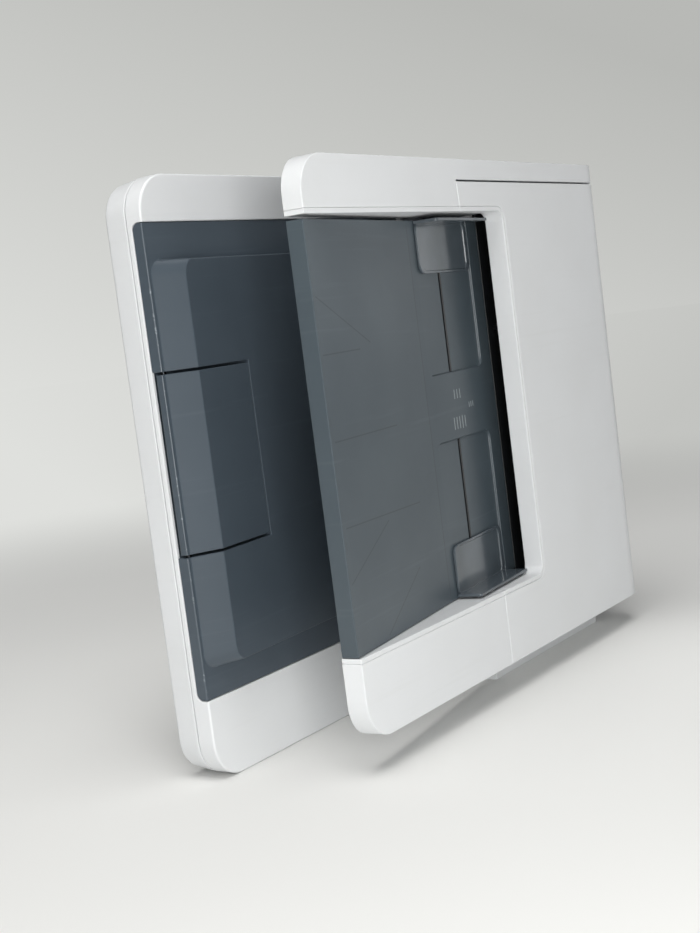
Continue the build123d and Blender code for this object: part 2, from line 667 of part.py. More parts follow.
with BuildPart() as input_tray:
    slab(
        [
            (ARM_END + 0.2, tray_low),
            (ARM_END + 0.2, TRAY_TOP),
            CREASE,
            (DECK_END, deck_w(DECK_END)),
            (DECK_END, deck_w(DECK_END) - DECK),
            (CREASE[0], CREASE[1] - DECK),
            (ARM_END + 0.2 + DECK, TRAY_TOP - 0.4 - DECK),
            (ARM_END + 0.2 + DECK, tray_low),
        ],
        tray_v,
    )
    for pocket_range in pocket_ranges:
        add(wedge(POCKET_S, 0, 6, pocket_range, POCKET_CORNER), mode=Mode.SUBTRACT)
    for slot_range in slot_ranges:
        with BuildSketch(deck(-8)) as slot:
            with Locations((SLOT_S, sum(slot_range) / 2)):
                Rectangle(SLOT_WIDTH, slot_range[1] - slot_range[0])
        extrude(amount=16, mode=Mode.SUBTRACT)
input_tray.part.label = "input_tray"
export_step(input_tray.part, "parts/input_tray.step")

under_knee = ARM_KNEE[1] - 2
under_low = ARM_HEEL - 2
with BuildPart() as tray_underside:
    slab(
        [
            (ARM_END + DECK + 0.4, tray_low),
            (ARM_END + DECK + 0.4, tray_low + 2),
            (ARM_KNEE[0], under_knee),
            (RECESS_END - 0.2, under_low + 2),
            (RECESS_END - 0.2, under_low),
            (ARM_KNEE[0], under_knee - 2),
        ],
        tray_v,
    )
    pinion_seat = -RACK_DROP - RACK - RUN_GAP
    boss_foot = ARM_KNEE[1] - 3.3 - CREASE[1]
    with BuildSketch(deck(boss_foot)):
        with Locations((SLOT_S, MID_V)):
            Circle(PIVOT_R + 2.5)
    extrude(amount=pinion_seat - boss_foot)
    with BuildSketch(deck(pinion_seat)):
        with Locations((SLOT_S, MID_V)):
            Circle(PIVOT_R)
    extrude(amount=RACK + RUN_GAP)
tray_underside.part.label = "tray_underside"
export_step(tray_underside.part, "parts/tray_underside.step")


# Paper guides, racks and pinion
def gear_face(teeth, bore, phase):
    """A spur gear's outline with slim teeth, the first at the angle called phase, and a bore."""
    pitch = MODULE * teeth / 2
    root = pitch - 1.25 * MODULE
    tip = pitch + 0.95 * MODULE
    root_turn = 0.85 * MODULE / root * 180 / pi
    tip_turn = 0.27 * MODULE / tip * 180 / pi
    points = []
    for n in range(teeth):
        turn = phase + 360 * n / teeth
        points.append(polar((0, 0), root, turn - root_turn))
        points.append(polar((0, 0), tip, turn - tip_turn))
        points.append(polar((0, 0), tip, turn + tip_turn))
        points.append(polar((0, 0), root, turn + root_turn))
    with BuildSketch(mode=Mode.PRIVATE) as outline:
        with BuildLine():
            Polyline(*points, close=True)
        make_face()
        Circle(bore, mode=Mode.SUBTRACT)
    return outline.sketch


pinion_pitch = MODULE * PINION_TEETH / 2


def guide(base_v, post_range, rack_side, inward):
    """A paper guide: glossy base, upright fence, a post through the slot, and a toothed rack."""
    outer_v = base_v[0] if inward > 0 else base_v[1]
    fence_v = (outer_v, outer_v + inward * GUIDE_FENCE)
    fence_s = (GUIDE_S[0], GUIDE_FENCE_END)
    rack_s = SLOT_S + rack_side * (pinion_pitch + MESH_GAP)
    back_s = rack_s + rack_side * RACK_BACK
    outer_rack_v = post_range[0] if inward > 0 else post_range[1]
    tip_v = MID_V + inward * 8.0
    with BuildPart() as piece:
        add(wedge(GUIDE_S, RUN_GAP, RUN_GAP + GUIDE_PLATE, base_v, GUIDE_CORNER))
        well_v = inset(base_v, 1.5)
        well_low = RUN_GAP + GUIDE_PLATE - GUIDE_WELL
        well = wedge(inset(GUIDE_S, 5), well_low, well_low + 3, well_v, GUIDE_CORNER - 2)
        add(well, mode=Mode.SUBTRACT)
        with BuildSketch(deck(-POCKET_SINK)):
            with Locations((sum(fence_s) / 2, sum(fence_v) / 2)):
                Rectangle(fence_s[1] - fence_s[0], GUIDE_FENCE)
        extrude(amount=GUIDE_HEIGHT + POCKET_SINK)
        top_corners = edges().filter_by(Axis.Z).group_by(Axis.Y)[0]
        fillet(top_corners, radius=2.0)
        ends = (GUIDE_S[0] - 1, GUIDE_S[1] + 1)
        below = [(ends[0], RUN_GAP), (ends[1], RUN_GAP), (ends[1], -3), (ends[0], -3)]
        slab([on_floor(*corner) for corner in below], inset(base_v, -1), Mode.SUBTRACT)
        with BuildSketch(deck(-RACK_DROP - 0.01)):
            with Locations((SLOT_S, sum(post_range) / 2)):
                Rectangle(SLOT_WIDTH - 2 * RUN_GAP, post_range[1] - post_range[0])
        extrude(amount=RACK_DROP + RUN_GAP)
        with BuildSketch(deck(-RACK_DROP - RACK)):
            with Locations(((SLOT_S + back_s) / 2, sum(post_range) / 2)):
                Rectangle(abs(back_s - SLOT_S) + 4, post_range[1] - post_range[0])
            with Locations(((rack_s + back_s) / 2 + rack_side * 0.65, (outer_rack_v + tip_v) / 2)):
                Rectangle(RACK_BACK - 1.3, abs(tip_v - outer_rack_v))
            pitch = pi * MODULE
            first = MID_V + inward * 0.5 * pitch
            for n in range(int((GUIDE_TRAVEL + 14) / pitch)):
                centre_v = first + inward * (1 - n) * pitch
                with BuildLine():
                    Polyline(
                        (rack_s + rack_side * 1.4, centre_v - 1.1),
                        (rack_s - rack_side * 0.9, centre_v - 0.33),
                        (rack_s - rack_side * 0.9, centre_v + 0.33),
                        (rack_s + rack_side * 1.4, centre_v + 1.1),
                        close=True,
                    )
                make_face()
        extrude(amount=RACK)
    return piece.part


post_front_v = (2 * MID_V - post_v[1], 2 * MID_V - post_v[0])
guide_rear = guide(guide_rear_v, post_v, -1, 1)
guide_rear.label = "guide_rear"
export_step(guide_rear, "parts/guide_rear.step")
guide_front = guide(guide_front_v, post_front_v, 1, -1)
guide_front.label = "guide_front"
export_step(guide_front, "parts/guide_front.step")

with BuildPart() as guide_pinion:
    with BuildSketch(deck(-RACK_DROP - RACK)):
        with Locations((SLOT_S, MID_V)):
            add(gear_face(PINION_TEETH, PIVOT_R + SHAFT_GAP, 0))
    extrude(amount=RACK)
guide_pinion.part.label = "guide_pinion"
export_step(guide_pinion.part, "parts/guide_pinion.step")


# Frames, shafts and gears
def mesh(teeth_a, teeth_b):
    """The distance between the axes of two gears."""
    return MODULE * (teeth_a + teeth_b) / 2 + MESH_GAP


def mesh_phase(phase, teeth, other_teeth, angle):
    """The phase of a gear that meets another one, whose own phase is given, at an angle."""
    return angle + 180 + 180 / other_teeth - (phase - angle) * teeth / other_teeth


feed_axis = polar(IDLER_AXIS, mesh(IDLER_TEETH, FEED_TEETH), 80)
transport_axis = polar(IDLER_AXIS, mesh(IDLER_TEETH, TRANSPORT_TEETH), -15)
exit_axis = polar(IDLER_AXIS, mesh(IDLER_TEETH, EXIT_TEETH), 200)
motor_axis = polar(IDLER_AXIS, mesh(IDLER_TEETH, MOTOR_TEETH), 120)
register_axis = polar(transport_axis, mesh(TRANSPORT_TEETH, REGISTER_TEETH), 70)
pinch_axis = (transport_axis[0] + TRANSPORT_R + PINCH_R + RUN_GAP, transport_axis[1])
exit_pinch_axis = (exit_axis[0], exit_axis[1] - EXIT_R - PINCH_R - RUN_GAP)
pickup_axis = polar(feed_axis, PICKUP_REACH, PICKUP_ANGLE)
transport_phase = mesh_phase(0, IDLER_TEETH, TRANSPORT_TEETH, -15)
feed_phase = mesh_phase(0, IDLER_TEETH, FEED_TEETH, 80)
exit_phase = mesh_phase(0, IDLER_TEETH, EXIT_TEETH, 200)
motor_phase = mesh_phase(0, IDLER_TEETH, MOTOR_TEETH, 120)
register_phase = mesh_phase(transport_phase, TRANSPORT_TEETH, REGISTER_TEETH, 70)
main_axes = (feed_axis, transport_axis, register_axis, exit_axis)
pinch_axes = (pinch_axis, exit_pinch_axis)
frame_u = (RECESS_END + BASE_WALL + RUN_GAP, FAR_WALL - 3)
frame_outline = [
    (frame_u[0], BASE_FLOOR),
    (frame_u[0], FRAME_TOP - 9),
    (frame_u[0] + 9.3, FRAME_TOP),
    (frame_u[1] - 14, FRAME_TOP),
    (frame_u[1], BASE_TOP + 3),
    (frame_u[1], BASE_FLOOR),
]
frame_window_u = (frame_u[0] + 4, frame_u[0] + 13)
frame_window_w = (BASE_TOP - 11, BASE_TOP + 5)
motor_posts = [(motor_axis[0] + du, motor_axis[1] + dw) for du, dw in ((-16, 11), (-16, -15), (-5, 17))]


def gear(axis, teeth, phase, v, bore):
    with BuildSketch(section(v[1])) as outline:
        with Locations(axis):
            add(gear_face(teeth, bore, phase))
    extrude(outline.sketch, amount=v[1] - v[0])


for name, frame_v in (("rear_frame", REAR_FRAME_V), ("front_frame", FRONT_FRAME_V)):
    with BuildPart() as plate:
        slab(frame_outline, frame_v)
        wide = inset(frame_v, -1)
        for axis in main_axes:
            rod(axis, BUSH_R + SHAFT_GAP, wide, Mode.SUBTRACT)
        for axis in pinch_axes:
            rod(axis, PINCH_SHAFT_R + SHAFT_GAP, wide, Mode.SUBTRACT)
        block(frame_window_u, wide, frame_window_w, Mode.SUBTRACT)
        flange_v = (frame_v[0], frame_v[0] + FRAME_FLANGE)
        if name == "rear_frame":
            flange_v = (frame_v[1] - FRAME_FLANGE, frame_v[1])
            for spot in motor_posts:
                rod(spot, 2.5, (GEAR_V[0] - RUN_GAP, frame_v[0]))
            rod(IDLER_AXIS, SHAFT_R, (GEAR_V[0] - 1, frame_v[0]))
        block(inset(frame_u, 23), flange_v, (BASE_FLOOR, BASE_FLOOR + 1.5))
    plate.part.label = name
    export_step(plate.part, f"parts/{name}.step")

with BuildPart() as shaft_bushes:
    for axis in main_axes:
        for frame_v in (REAR_FRAME_V, FRONT_FRAME_V):
            inner = 1 if frame_v is REAR_FRAME_V else -1
            flange_edge = frame_v[1] if inner > 0 else frame_v[0]
            flange_v = sorted((flange_edge, flange_edge + inner * BUSH_FLANGE))
            rod(axis, BUSH_R, inset(frame_v, -0.01))
            rod(axis, BUSH_R + 1.5, flange_v)
            rod(axis, SHAFT_R + SHAFT_GAP, inset(frame_v, -2), Mode.SUBTRACT)
shaft_bushes.part.label = "shaft_bushes"
export_step(shaft_bushes.part, "parts/shaft_bushes.step")


def roller(axis, radius, bands, shaft_v, teeth, phase):
    """A steel shaft with rubber bands and its drive gear."""
    with BuildPart() as piece:
        rod(axis, SHAFT_R, shaft_v)
        for band in bands:
            rod(axis, radius, band)
        if teeth:
            gear(axis, teeth, phase, GEAR_V, SHAFT_R - 0.5)
    return piece.part


shaft_v = (GEAR_V[0] - 0.5, FRONT_FRAME_V[1] + 2)
outer_band = REAR_SEAM_V + 27.4
band_centres = (outer_band, MID_V - 42, MID_V + 42, 2 * MID_V - outer_band)
wide_bands = [(centre - BAND_WIDTH / 2, centre + BAND_WIDTH / 2) for centre in band_centres]
arm_plate_v = ((MID_V - 20.6, MID_V - 18.6), (MID_V + 18.6, MID_V + 20.6))
pulley_v = (arm_plate_v[1][1] + 0.8, arm_plate_v[1][1] + 5.6)
belt_v = inset(pulley_v, RUN_GAP)
core_v = (MID_V - 12.6, MID_V + 12.6)

with BuildPart() as feed_roller:
    add(roller(feed_axis, FEED_R, [core_v], shaft_v, FEED_TEETH, feed_phase))
    rod(feed_axis, PULLEY_R, pulley_v)
feed_roller.part.label = "feed_roller"
export_step(feed_roller.part, "parts/feed_roller.step")

transport_roller = roller(
    transport_axis, TRANSPORT_R, wide_bands, shaft_v, TRANSPORT_TEETH, transport_phase
)
transport_roller.label = "transport_roller"
export_step(transport_roller, "parts/transport_roller.step")

register_roller = roller(
    register_axis, REGISTER_R, wide_bands, shaft_v, REGISTER_TEETH, register_phase
)
register_roller.label = "register_roller"
export_step(register_roller, "parts/register_roller.step")

exit_roller = roller(exit_axis, EXIT_R, wide_bands, shaft_v, EXIT_TEETH, exit_phase)
exit_roller.label = "exit_roller"
export_step(exit_roller, "parts/exit_roller.step")

pinch_v = (REAR_FRAME_V[0] - 1, FRONT_FRAME_V[1] + 1)
for name, axis in (("pinch_roller", pinch_axis), ("exit_pinch_roller", exit_pinch_axis)):
    with BuildPart() as pinch:
        rod(axis, PINCH_SHAFT_R, pinch_v)
        for band in wide_bands:
            rod(axis, PINCH_R, inset(band, 2))
    pinch.part.label = name
    export_step(pinch.part, f"parts/{name}.step")

with BuildPart() as idler_gear:
    gear(IDLER_AXIS, IDLER_TEETH, 0, GEAR_V, SHAFT_R + SHAFT_GAP)
    hub_v = (GEAR_V[1], REAR_FRAME_V[0] - RUN_GAP)
    rod(IDLER_AXIS, SHAFT_R + 2.5, hub_v)
    rod(IDLER_AXIS, SHAFT_R + SHAFT_GAP, inset(hub_v, -1), Mode.SUBTRACT)
idler_gear.part.label = "idler_gear"
export_step(idler_gear.part, "parts/idler_gear.step")

# Motor
motor_plate_v = (GEAR_V[0] - RUN_GAP - MOTOR_PLATE, GEAR_V[0] - RUN_GAP)
motor_v = (base_rear_v + BASE_WALL + 1, motor_plate_v[0])

with BuildPart() as motor_plate:
    corners = [(-20, -19), (-20, 20), (11, 20), (16, 7), (16, 1), (-2, -19)]
    slab([(motor_axis[0] + du, motor_axis[1] + dw) for du, dw in corners], motor_plate_v)
    rod(motor_axis, 4.0, inset(motor_plate_v, -1), Mode.SUBTRACT)
motor_plate.part.label = "motor_plate"
export_step(motor_plate.part, "parts/motor_plate.step")

with BuildPart() as motor:
    rod(motor_axis, MOTOR_R, motor_v)
    fillet(edges().filter_by(GeomType.CIRCLE), radius=1.0)
    for side in (-1, 1):
        ear = (motor_axis[0] + side * (MOTOR_R + 1), motor_axis[1])
        rod(ear, 3.5, (motor_v[1] - 1, motor_v[1]))
motor.part.label = "motor"
export_step(motor.part, "parts/motor.step")

with BuildPart() as motor_pinion:
    gear(motor_axis, MOTOR_TEETH, motor_phase, GEAR_V, MOTOR_SHAFT_R - 0.2)
    rod(motor_axis, MOTOR_SHAFT_R, (motor_v[1] + SEAM, GEAR_V[1]))
motor_pinion.part.label = "motor_pinion"
export_step(motor_pinion.part, "parts/motor_pinion.step")

# Pickup arm
with BuildPart() as pickup_arm:
    for plate_v in arm_plate_v:
        rod(feed_axis, 7.0, plate_v)
        rod(pickup_axis, 6.0, plate_v)
        slab(
            [
                (pickup_axis[0], pickup_axis[1] - 6),
                (pickup_axis[0], pickup_axis[1] + 6),
                (feed_axis[0], feed_axis[1] + 7),
                (feed_axis[0], feed_axis[1] - 7),
            ],
            plate_v,
        )
    bridge_u = (pickup_axis[0] + PICKUP_R + 2.5, feed_axis[0] - FEED_R - 2)
    block(bridge_u, (arm_plate_v[0][0], arm_plate_v[1][1]), (feed_axis[1] - 5, feed_axis[1] + 6))
    arm_v = (arm_plate_v[0][0] - 1, arm_plate_v[1][1] + 1)
    rod(feed_axis, SHAFT_R + SHAFT_GAP, arm_v, Mode.SUBTRACT)
    rod(pickup_axis, PINCH_SHAFT_R + SHAFT_GAP, arm_v, Mode.SUBTRACT)
pickup_arm.part.label = "pickup_arm"
export_step(pickup_arm.part, "parts/pickup_arm.step")

with BuildPart() as pickup_roller:
    rod(pickup_axis, PINCH_SHAFT_R, (arm_plate_v[0][0] - 1, pulley_v[1]))
    rod(pickup_axis, PICKUP_R, core_v)
    rod(pickup_axis, PULLEY_R, pulley_v)
pickup_roller.part.label = "pickup_roller"
export_step(pickup_roller.part, "parts/pickup_roller.step")

belt_centre = ((feed_axis[0] + pickup_axis[0]) / 2, (feed_axis[1] + pickup_axis[1]) / 2)
with BuildPart() as pickup_belt:
    with BuildSketch(section(belt_v[1])):
        with Locations(belt_centre):
            tilt = PICKUP_ANGLE - 180
            inner_height = 2 * (PULLEY_R + RUN_GAP)
            SlotCenterToCenter(PICKUP_REACH, inner_height + 2 * BELT, rotation=tilt)
            SlotCenterToCenter(PICKUP_REACH, inner_height, rotation=tilt, mode=Mode.SUBTRACT)
    extrude(amount=belt_v[1] - belt_v[0])
pickup_belt.part.label = "pickup_belt"
export_step(pickup_belt.part, "parts/pickup_belt.step")

# Paper path
path_v = (REAR_FRAME_V[1], FRONT_FRAME_V[0])
pad_axis = (feed_axis[0] + 12.4, feed_axis[1] - 18.1)
pad_v = inset(core_v, -1)

with BuildPart() as paper_guide:
    guide_stop = pad_axis[0] + 6
    slab(
        [
            (DECK_END + RUN_GAP, deck_w(DECK_END)),
            (guide_stop, deck_w(guide_stop)),
            (guide_stop, deck_w(guide_stop) - GUIDE_SHEET),
            (DECK_END + RUN_GAP, deck_w(DECK_END) - GUIDE_SHEET),
        ],
        path_v,
    )
    windows = (
        (pad_axis, (-23.0, 3.5), pad_v, 2.0),
        (FLAG_AXIS, (-8.0, 14.0), FLAG_V, 1.0),
    )
    for axis, reach, window_v, side_gap in windows:
        window_u = (axis[0] + reach[0], axis[0] + reach[1])
        window_w = (axis[1] - 8, axis[1] + 20)
        block(window_u, inset(window_v, -side_gap), window_w, Mode.SUBTRACT)
        low_ear = (window_v[0] - side_gap - EAR, window_v[0] - side_gap)
        high_ear = (window_v[1] + side_gap, window_v[1] + side_gap + EAR)
        for ear_v in (low_ear, high_ear):
            ear_w = (axis[1] - EAR, deck_w(axis[0]) - 1)
            block((axis[0] - EAR, axis[0] + EAR), ear_v, ear_w)
            rod(axis, SMALL_PIN_R + SHAFT_GAP, inset(ear_v, -1), Mode.SUBTRACT)
paper_guide.part.label = "paper_guide"
export_step(paper_guide.part, "parts/paper_guide.step")

pad_top = feed_axis[1] - FEED_R - 0.2
with BuildPart() as pad_holder:
    block((pad_axis[0] - 21, pad_axis[0]), pad_v, (pad_axis[1] - 2, pad_top - 2))
    rod(pad_axis, SMALL_BARREL_R, pad_v)
    rod(pad_axis, SMALL_PIN_R, inset(pad_v, -1.5 - EAR))
pad_holder.part.label = "pad_holder"
export_step(pad_holder.part, "parts/pad_holder.step")

with BuildPart() as separation_pad:
    block((pad_axis[0] - 19, pad_axis[0] - 6), inset(pad_v, 1), (pad_top - 2, pad_top))
separation_pad.part.label = "separation_pad"
export_step(separation_pad.part, "parts/separation_pad.step")

with BuildPart() as paper_flag:
    corners = [(-1.4, 0), (-5.0, 12.5), (-2.8, 12.9), (1.4, 0)]
    slab([(FLAG_AXIS[0] + du, FLAG_AXIS[1] + dw) for du, dw in corners], FLAG_V)
    rod(FLAG_AXIS, SMALL_BARREL_R, FLAG_V)
    rod(FLAG_AXIS, SMALL_PIN_R, inset(FLAG_V, -0.5 - EAR))
paper_flag.part.label = "paper_flag"
export_step(paper_flag.part, "parts/paper_flag.step")

chute_r = TRANSPORT_R + 2 * PINCH_R + 1.5
with BuildPart() as outer_chute:
    with BuildSketch(section(path_v[1])):
        with BuildLine():
            CenterArc(transport_axis, chute_r, -50, 90)
            CenterArc(transport_axis, chute_r + GUIDE_SHEET, -50, 90)
            for edge_angle in (-50, 40):
                inner_point = polar(transport_axis, chute_r, edge_angle)
                Line(inner_point, polar(transport_axis, chute_r + GUIDE_SHEET, edge_angle))
        make_face()
    extrude(amount=path_v[1] - path_v[0])
outer_chute.part.label = "outer_chute"
export_step(outer_chute.part, "parts/outer_chute.step")

chute_u = (RECESS_END + 6, transport_axis[0] - 10.9)
chute_w = (exit_axis[1] - 8.8, exit_axis[1] - 16.8)
with BuildPart() as exit_chute:
    chute_outline = [
        (chute_u[0], chute_w[0]),
        (chute_u[1], chute_w[1]),
        (chute_u[1], chute_w[1] - CHUTE),
        (chute_u[0], chute_w[0] - CHUTE),
    ]
    slab(chute_outline, path_v)
    for band in wide_bands:
        window_u = (exit_axis[0] - PINCH_R - 2, exit_axis[0] + PINCH_R + 2)
        block(window_u, inset(band, -0.5), (exit_pinch_axis[1] - 6, exit_axis[1]), Mode.SUBTRACT)
exit_chute.part.label = "exit_chute"
export_step(exit_chute.part, "parts/exit_chute.step")

with BuildPart() as base_screws:
    for spot in base_screw_places:
        stud(spot, SCREW_R, (-BASE_SCREW_DEPTH, BASE_FLOOR))
        stud(spot, SCREW_HEAD_R, (BASE_FLOOR, BASE_FLOOR + SCREW_HEAD))
        stud(spot, 1.2, (BASE_FLOOR + 0.8, BASE_FLOOR + SCREW_HEAD), Mode.SUBTRACT)
base_screws.part.label = "base_screws"
export_step(base_screws.part, "parts/base_screws.step")

# Jam cover
cover_u = COVER_START + COVER_SEAM / 2
cover_v = (REAR_V, STRIP_V - COVER_FRONT_GAP)
cover_low = COVER_AXIS[1] - 2
knuckle_v = (
    (ear_rear_v[1] + RUN_GAP, ear_rear_v[1] + COVER_KNUCKLE),
    (ear_front_v[0] - COVER_KNUCKLE, ear_front_v[0] - RUN_GAP),
)
opening_start = COVER_START - 80

with BuildPart() as cover_shell:
    with BuildSketch(section(cover_v[1])):
        with BuildLine():
            Polyline(
                (cover_u, SKIRT),
                (cover_u, FEEDER_HEIGHT),
                (COVER_END, FEEDER_HEIGHT),
                (COVER_END, cover_low),
                (COVER_AXIS[0] - 4, cover_low),
                (BOX_END + 2, SKIRT),
                close=True,
            )
        make_face()
        fillet(vertices().group_by(Axis.X)[-1].sort_by(Axis.Y)[-1], radius=COVER_END_R)
    extrude(amount=cover_v[1] - cover_v[0])
    inner_v = inset(cover_v, SHELL)
    with BuildSketch(section(inner_v[1])):
        with BuildLine():
            Polyline(
                (cover_u + SHELL, -1),
                (cover_u + SHELL, FEEDER_HEIGHT - SHELL),
                (COVER_END - SHELL, FEEDER_HEIGHT - SHELL),
                (COVER_END - SHELL, -1),
                close=True,
            )
        make_face()
        corner = vertices().group_by(Axis.X)[-1].sort_by(Axis.Y)[-1]
        fillet(corner, radius=COVER_END_R - SHELL)
    extrude(amount=inner_v[1] - inner_v[0], mode=Mode.SUBTRACT)
    opening_v = (REAR_SEAM_V, FRONT_SEAM_V)
    opening_w = (SKIRT - 10, FEEDER_HEIGHT + 10)
    round_block((opening_start, OPENING_U), opening_v, opening_w, OPENING_R, Mode.SUBTRACT)
    for knuckle in knuckle_v:
        rod(COVER_AXIS, COVER_KNUCKLE_R, knuckle)
        block((COVER_AXIS[0], COVER_END - 1), knuckle, (cover_low, COVER_AXIS[1] + 7))
        rod(COVER_AXIS, COVER_PIN_R + SHAFT_GAP, inset(knuckle, -1), Mode.SUBTRACT)
cover_shell.part.label = "cover_shell"
export_step(cover_shell.part, "parts/cover_shell.step")

with BuildPart() as cover_pins:
    rod(COVER_AXIS, COVER_PIN_R, (ear_rear_v[0], knuckle_v[0][1]))
    rod(COVER_AXIS, COVER_PIN_R, (knuckle_v[1][0], ear_front_v[1]))
cover_pins.part.label = "cover_pins"
export_step(cover_pins.part, "parts/cover_pins.step")

lip_w = (FEEDER_HEIGHT - LIP_DEPTH, FEEDER_HEIGHT)
flange_w = (FEEDER_HEIGHT - SHELL - LIP_FLANGE, FEEDER_HEIGHT - SHELL)
lip_out_v = inset((REAR_SEAM_V, FRONT_SEAM_V), SEAM)
lip_in_v = inset(lip_out_v, RAIL)
lip_u = OPENING_U - SEAM
with BuildPart() as cover_lip:
    round_block((opening_start, lip_u), lip_out_v, lip_w, OPENING_R - SEAM)
    flange_u = (opening_start, lip_u + LIP_FLANGE_WIDTH)
    flange_v = inset(lip_out_v, -LIP_FLANGE_WIDTH)
    round_block(flange_u, flange_v, flange_w, OPENING_R + LIP_FLANGE_WIDTH)
    for side_v in ((lip_out_v[0], lip_in_v[0]), (lip_in_v[1], lip_out_v[1])):
        block((cover_u, lip_u - OPENING_R), side_v, (RAIL_FOOT, lip_w[0]))
    inner_u = (opening_start - 10, lip_u - RAIL)
    round_block(inner_u, lip_in_v, opening_w, OPENING_R - RAIL, Mode.SUBTRACT)
    block((opening_start - 20, cover_u), (0, LID_DEPTH), opening_w, Mode.SUBTRACT)
    end_wall = (opening_start - 20, cover_u + SHELL + RUN_GAP)
    block(end_wall, (0, REAR_SEAM_V), opening_w, Mode.SUBTRACT)
    block(end_wall, (FRONT_SEAM_V, LID_DEPTH), opening_w, Mode.SUBTRACT)
cover_lip.part.label = "cover_lip"
export_step(cover_lip.part, "parts/cover_lip.step")

liner_top = FEEDER_HEIGHT - SHELL - LINER_GAP
liner_u = (lip_u + 7, FAR_WALL - 13)
liner_v = inset((REAR_SEAM_V, FRONT_SEAM_V), 11.4)
peg_u = (liner_u[0] + 8, sum(liner_u) / 2, liner_u[1] - 8)
peg_v = (liner_v[0] + 8, MID_V, liner_v[1] - 8)
with BuildPart() as cover_liner:
    block(liner_u, liner_v, (liner_top - LINER, liner_top))
    block((liner_u[0], liner_u[0] + 2), liner_v, (lip_w[0] + 1, liner_top - LINER))
    for peg in [(u, v) for u in peg_u for v in peg_v]:
        stud(peg, 3.0, (liner_top, liner_top + LINER_GAP))
cover_liner.part.label = "cover_liner"
export_step(cover_liner.part, "parts/cover_liner.step")

# Lid hinges
lid_axis = (LID_AXIS_V, LID_AXIS_W)
for side, leg_u in (("left", LEG_U[0]), ("right", LEG_U[1])):
    span = (leg_u - LEG_SPAN / 2, leg_u + LEG_SPAN / 2)
    outer = inset(span, -RUN_GAP - LID_EAR)
    with BuildPart() as bracket:
        block(inset(outer, -6), BRACKET_V, (LID_BOTTOM - BRACKET, LID_BOTTOM))
        for ear_u in ((outer[0], outer[0] + LID_EAR), (outer[1] - LID_EAR, outer[1])):
            block(ear_u, (LID_AXIS_V - LID_EAR_R, LID_AXIS_V + LID_EAR_R), (LID_AXIS_W, LID_BOTTOM))
            cross_rod(lid_axis, LID_EAR_R, ear_u)
        cross_rod(lid_axis, LID_PIN_R + SHAFT_GAP, inset(outer, -1), Mode.SUBTRACT)
    bracket.part.label = f"hinge_bracket_{side}"
    export_step(bracket.part, f"parts/hinge_bracket_{side}.step")
    with BuildPart() as pin:
        cross_rod(lid_axis, LID_PIN_R, outer)
    pin.part.label = f"hinge_pin_{side}"
    export_step(pin.part, f"parts/hinge_pin_{side}.step")
    with BuildPart() as leg:
        cross_rod(lid_axis, LEG_R, span)
        leg_v = (LID_AXIS_V - LEG_HALF_WIDTH, LID_AXIS_V + LEG_HALF_WIDTH)
        block(span, leg_v, (LEG_FOOT_W, LID_AXIS_W))
        leg_hollow_w = (LEG_FOOT_W + FOOT + 2, LID_AXIS_W - 9)
        block(inset(span, 3), (LID_AXIS_V - 1, LID_AXIS_V + 10), leg_hollow_w, Mode.SUBTRACT)
        block(span, (leg_v[0], FOOT_END_V), (LEG_FOOT_W, LEG_FOOT_W + FOOT))
        for hole_side in (-0.5, 0.5):
            hole = (leg_u + hole_side * FOOT_HOLE_SPACING, FOOT_HOLE_V)
            stud(hole, FOOT_HOLE_R, (LEG_FOOT_W - 1, LEG_FOOT_W + FOOT + 1), Mode.SUBTRACT)
        cross_rod(lid_axis, LID_PIN_R + SHAFT_GAP, inset(span, -1), Mode.SUBTRACT)
    leg.part.label = f"hinge_leg_{side}"
    export_step(leg.part, f"parts/hinge_leg_{side}.step")
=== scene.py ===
import bmesh
import bpy
import json
import math
from mathutils import Euler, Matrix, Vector
from mathutils.bvhtree import BVHTree
from mathutils.kdtree import KDTree

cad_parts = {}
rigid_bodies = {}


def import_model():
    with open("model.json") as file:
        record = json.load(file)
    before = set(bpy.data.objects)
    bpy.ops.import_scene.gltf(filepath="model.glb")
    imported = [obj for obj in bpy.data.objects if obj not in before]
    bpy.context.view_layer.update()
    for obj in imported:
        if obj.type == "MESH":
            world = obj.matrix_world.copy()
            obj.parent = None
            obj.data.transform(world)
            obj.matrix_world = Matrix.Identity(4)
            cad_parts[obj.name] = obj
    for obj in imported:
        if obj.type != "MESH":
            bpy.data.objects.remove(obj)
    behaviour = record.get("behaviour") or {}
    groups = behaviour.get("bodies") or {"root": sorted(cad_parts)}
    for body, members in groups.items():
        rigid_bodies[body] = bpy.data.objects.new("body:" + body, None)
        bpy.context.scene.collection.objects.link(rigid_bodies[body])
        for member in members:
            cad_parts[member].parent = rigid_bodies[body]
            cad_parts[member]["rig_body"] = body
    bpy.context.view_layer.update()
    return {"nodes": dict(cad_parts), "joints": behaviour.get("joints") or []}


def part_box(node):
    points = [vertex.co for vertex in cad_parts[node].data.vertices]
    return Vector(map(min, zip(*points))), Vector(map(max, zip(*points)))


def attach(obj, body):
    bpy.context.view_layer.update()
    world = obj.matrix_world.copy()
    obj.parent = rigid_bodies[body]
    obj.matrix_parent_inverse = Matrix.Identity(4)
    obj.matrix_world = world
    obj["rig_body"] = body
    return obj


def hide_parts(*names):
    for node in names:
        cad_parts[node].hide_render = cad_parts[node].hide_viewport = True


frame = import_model()


# Lid shells
# The two halves of the scanner lid, injection moulded in white ABS with a fine eroded texture.
# The lower one has drafted walls and takes the screws; a thin dark seam runs round between them.
def linear(colour):
    """An sRGB hex colour as linear red, green, blue and alpha."""
    parts = [int(colour[i : i + 2], 16) / 255 for i in (1, 3, 5)]
    return [c / 12.92 if c <= 0.04045 else ((c + 0.055) / 1.055) ** 2.4 for c in parts] + [1.0]


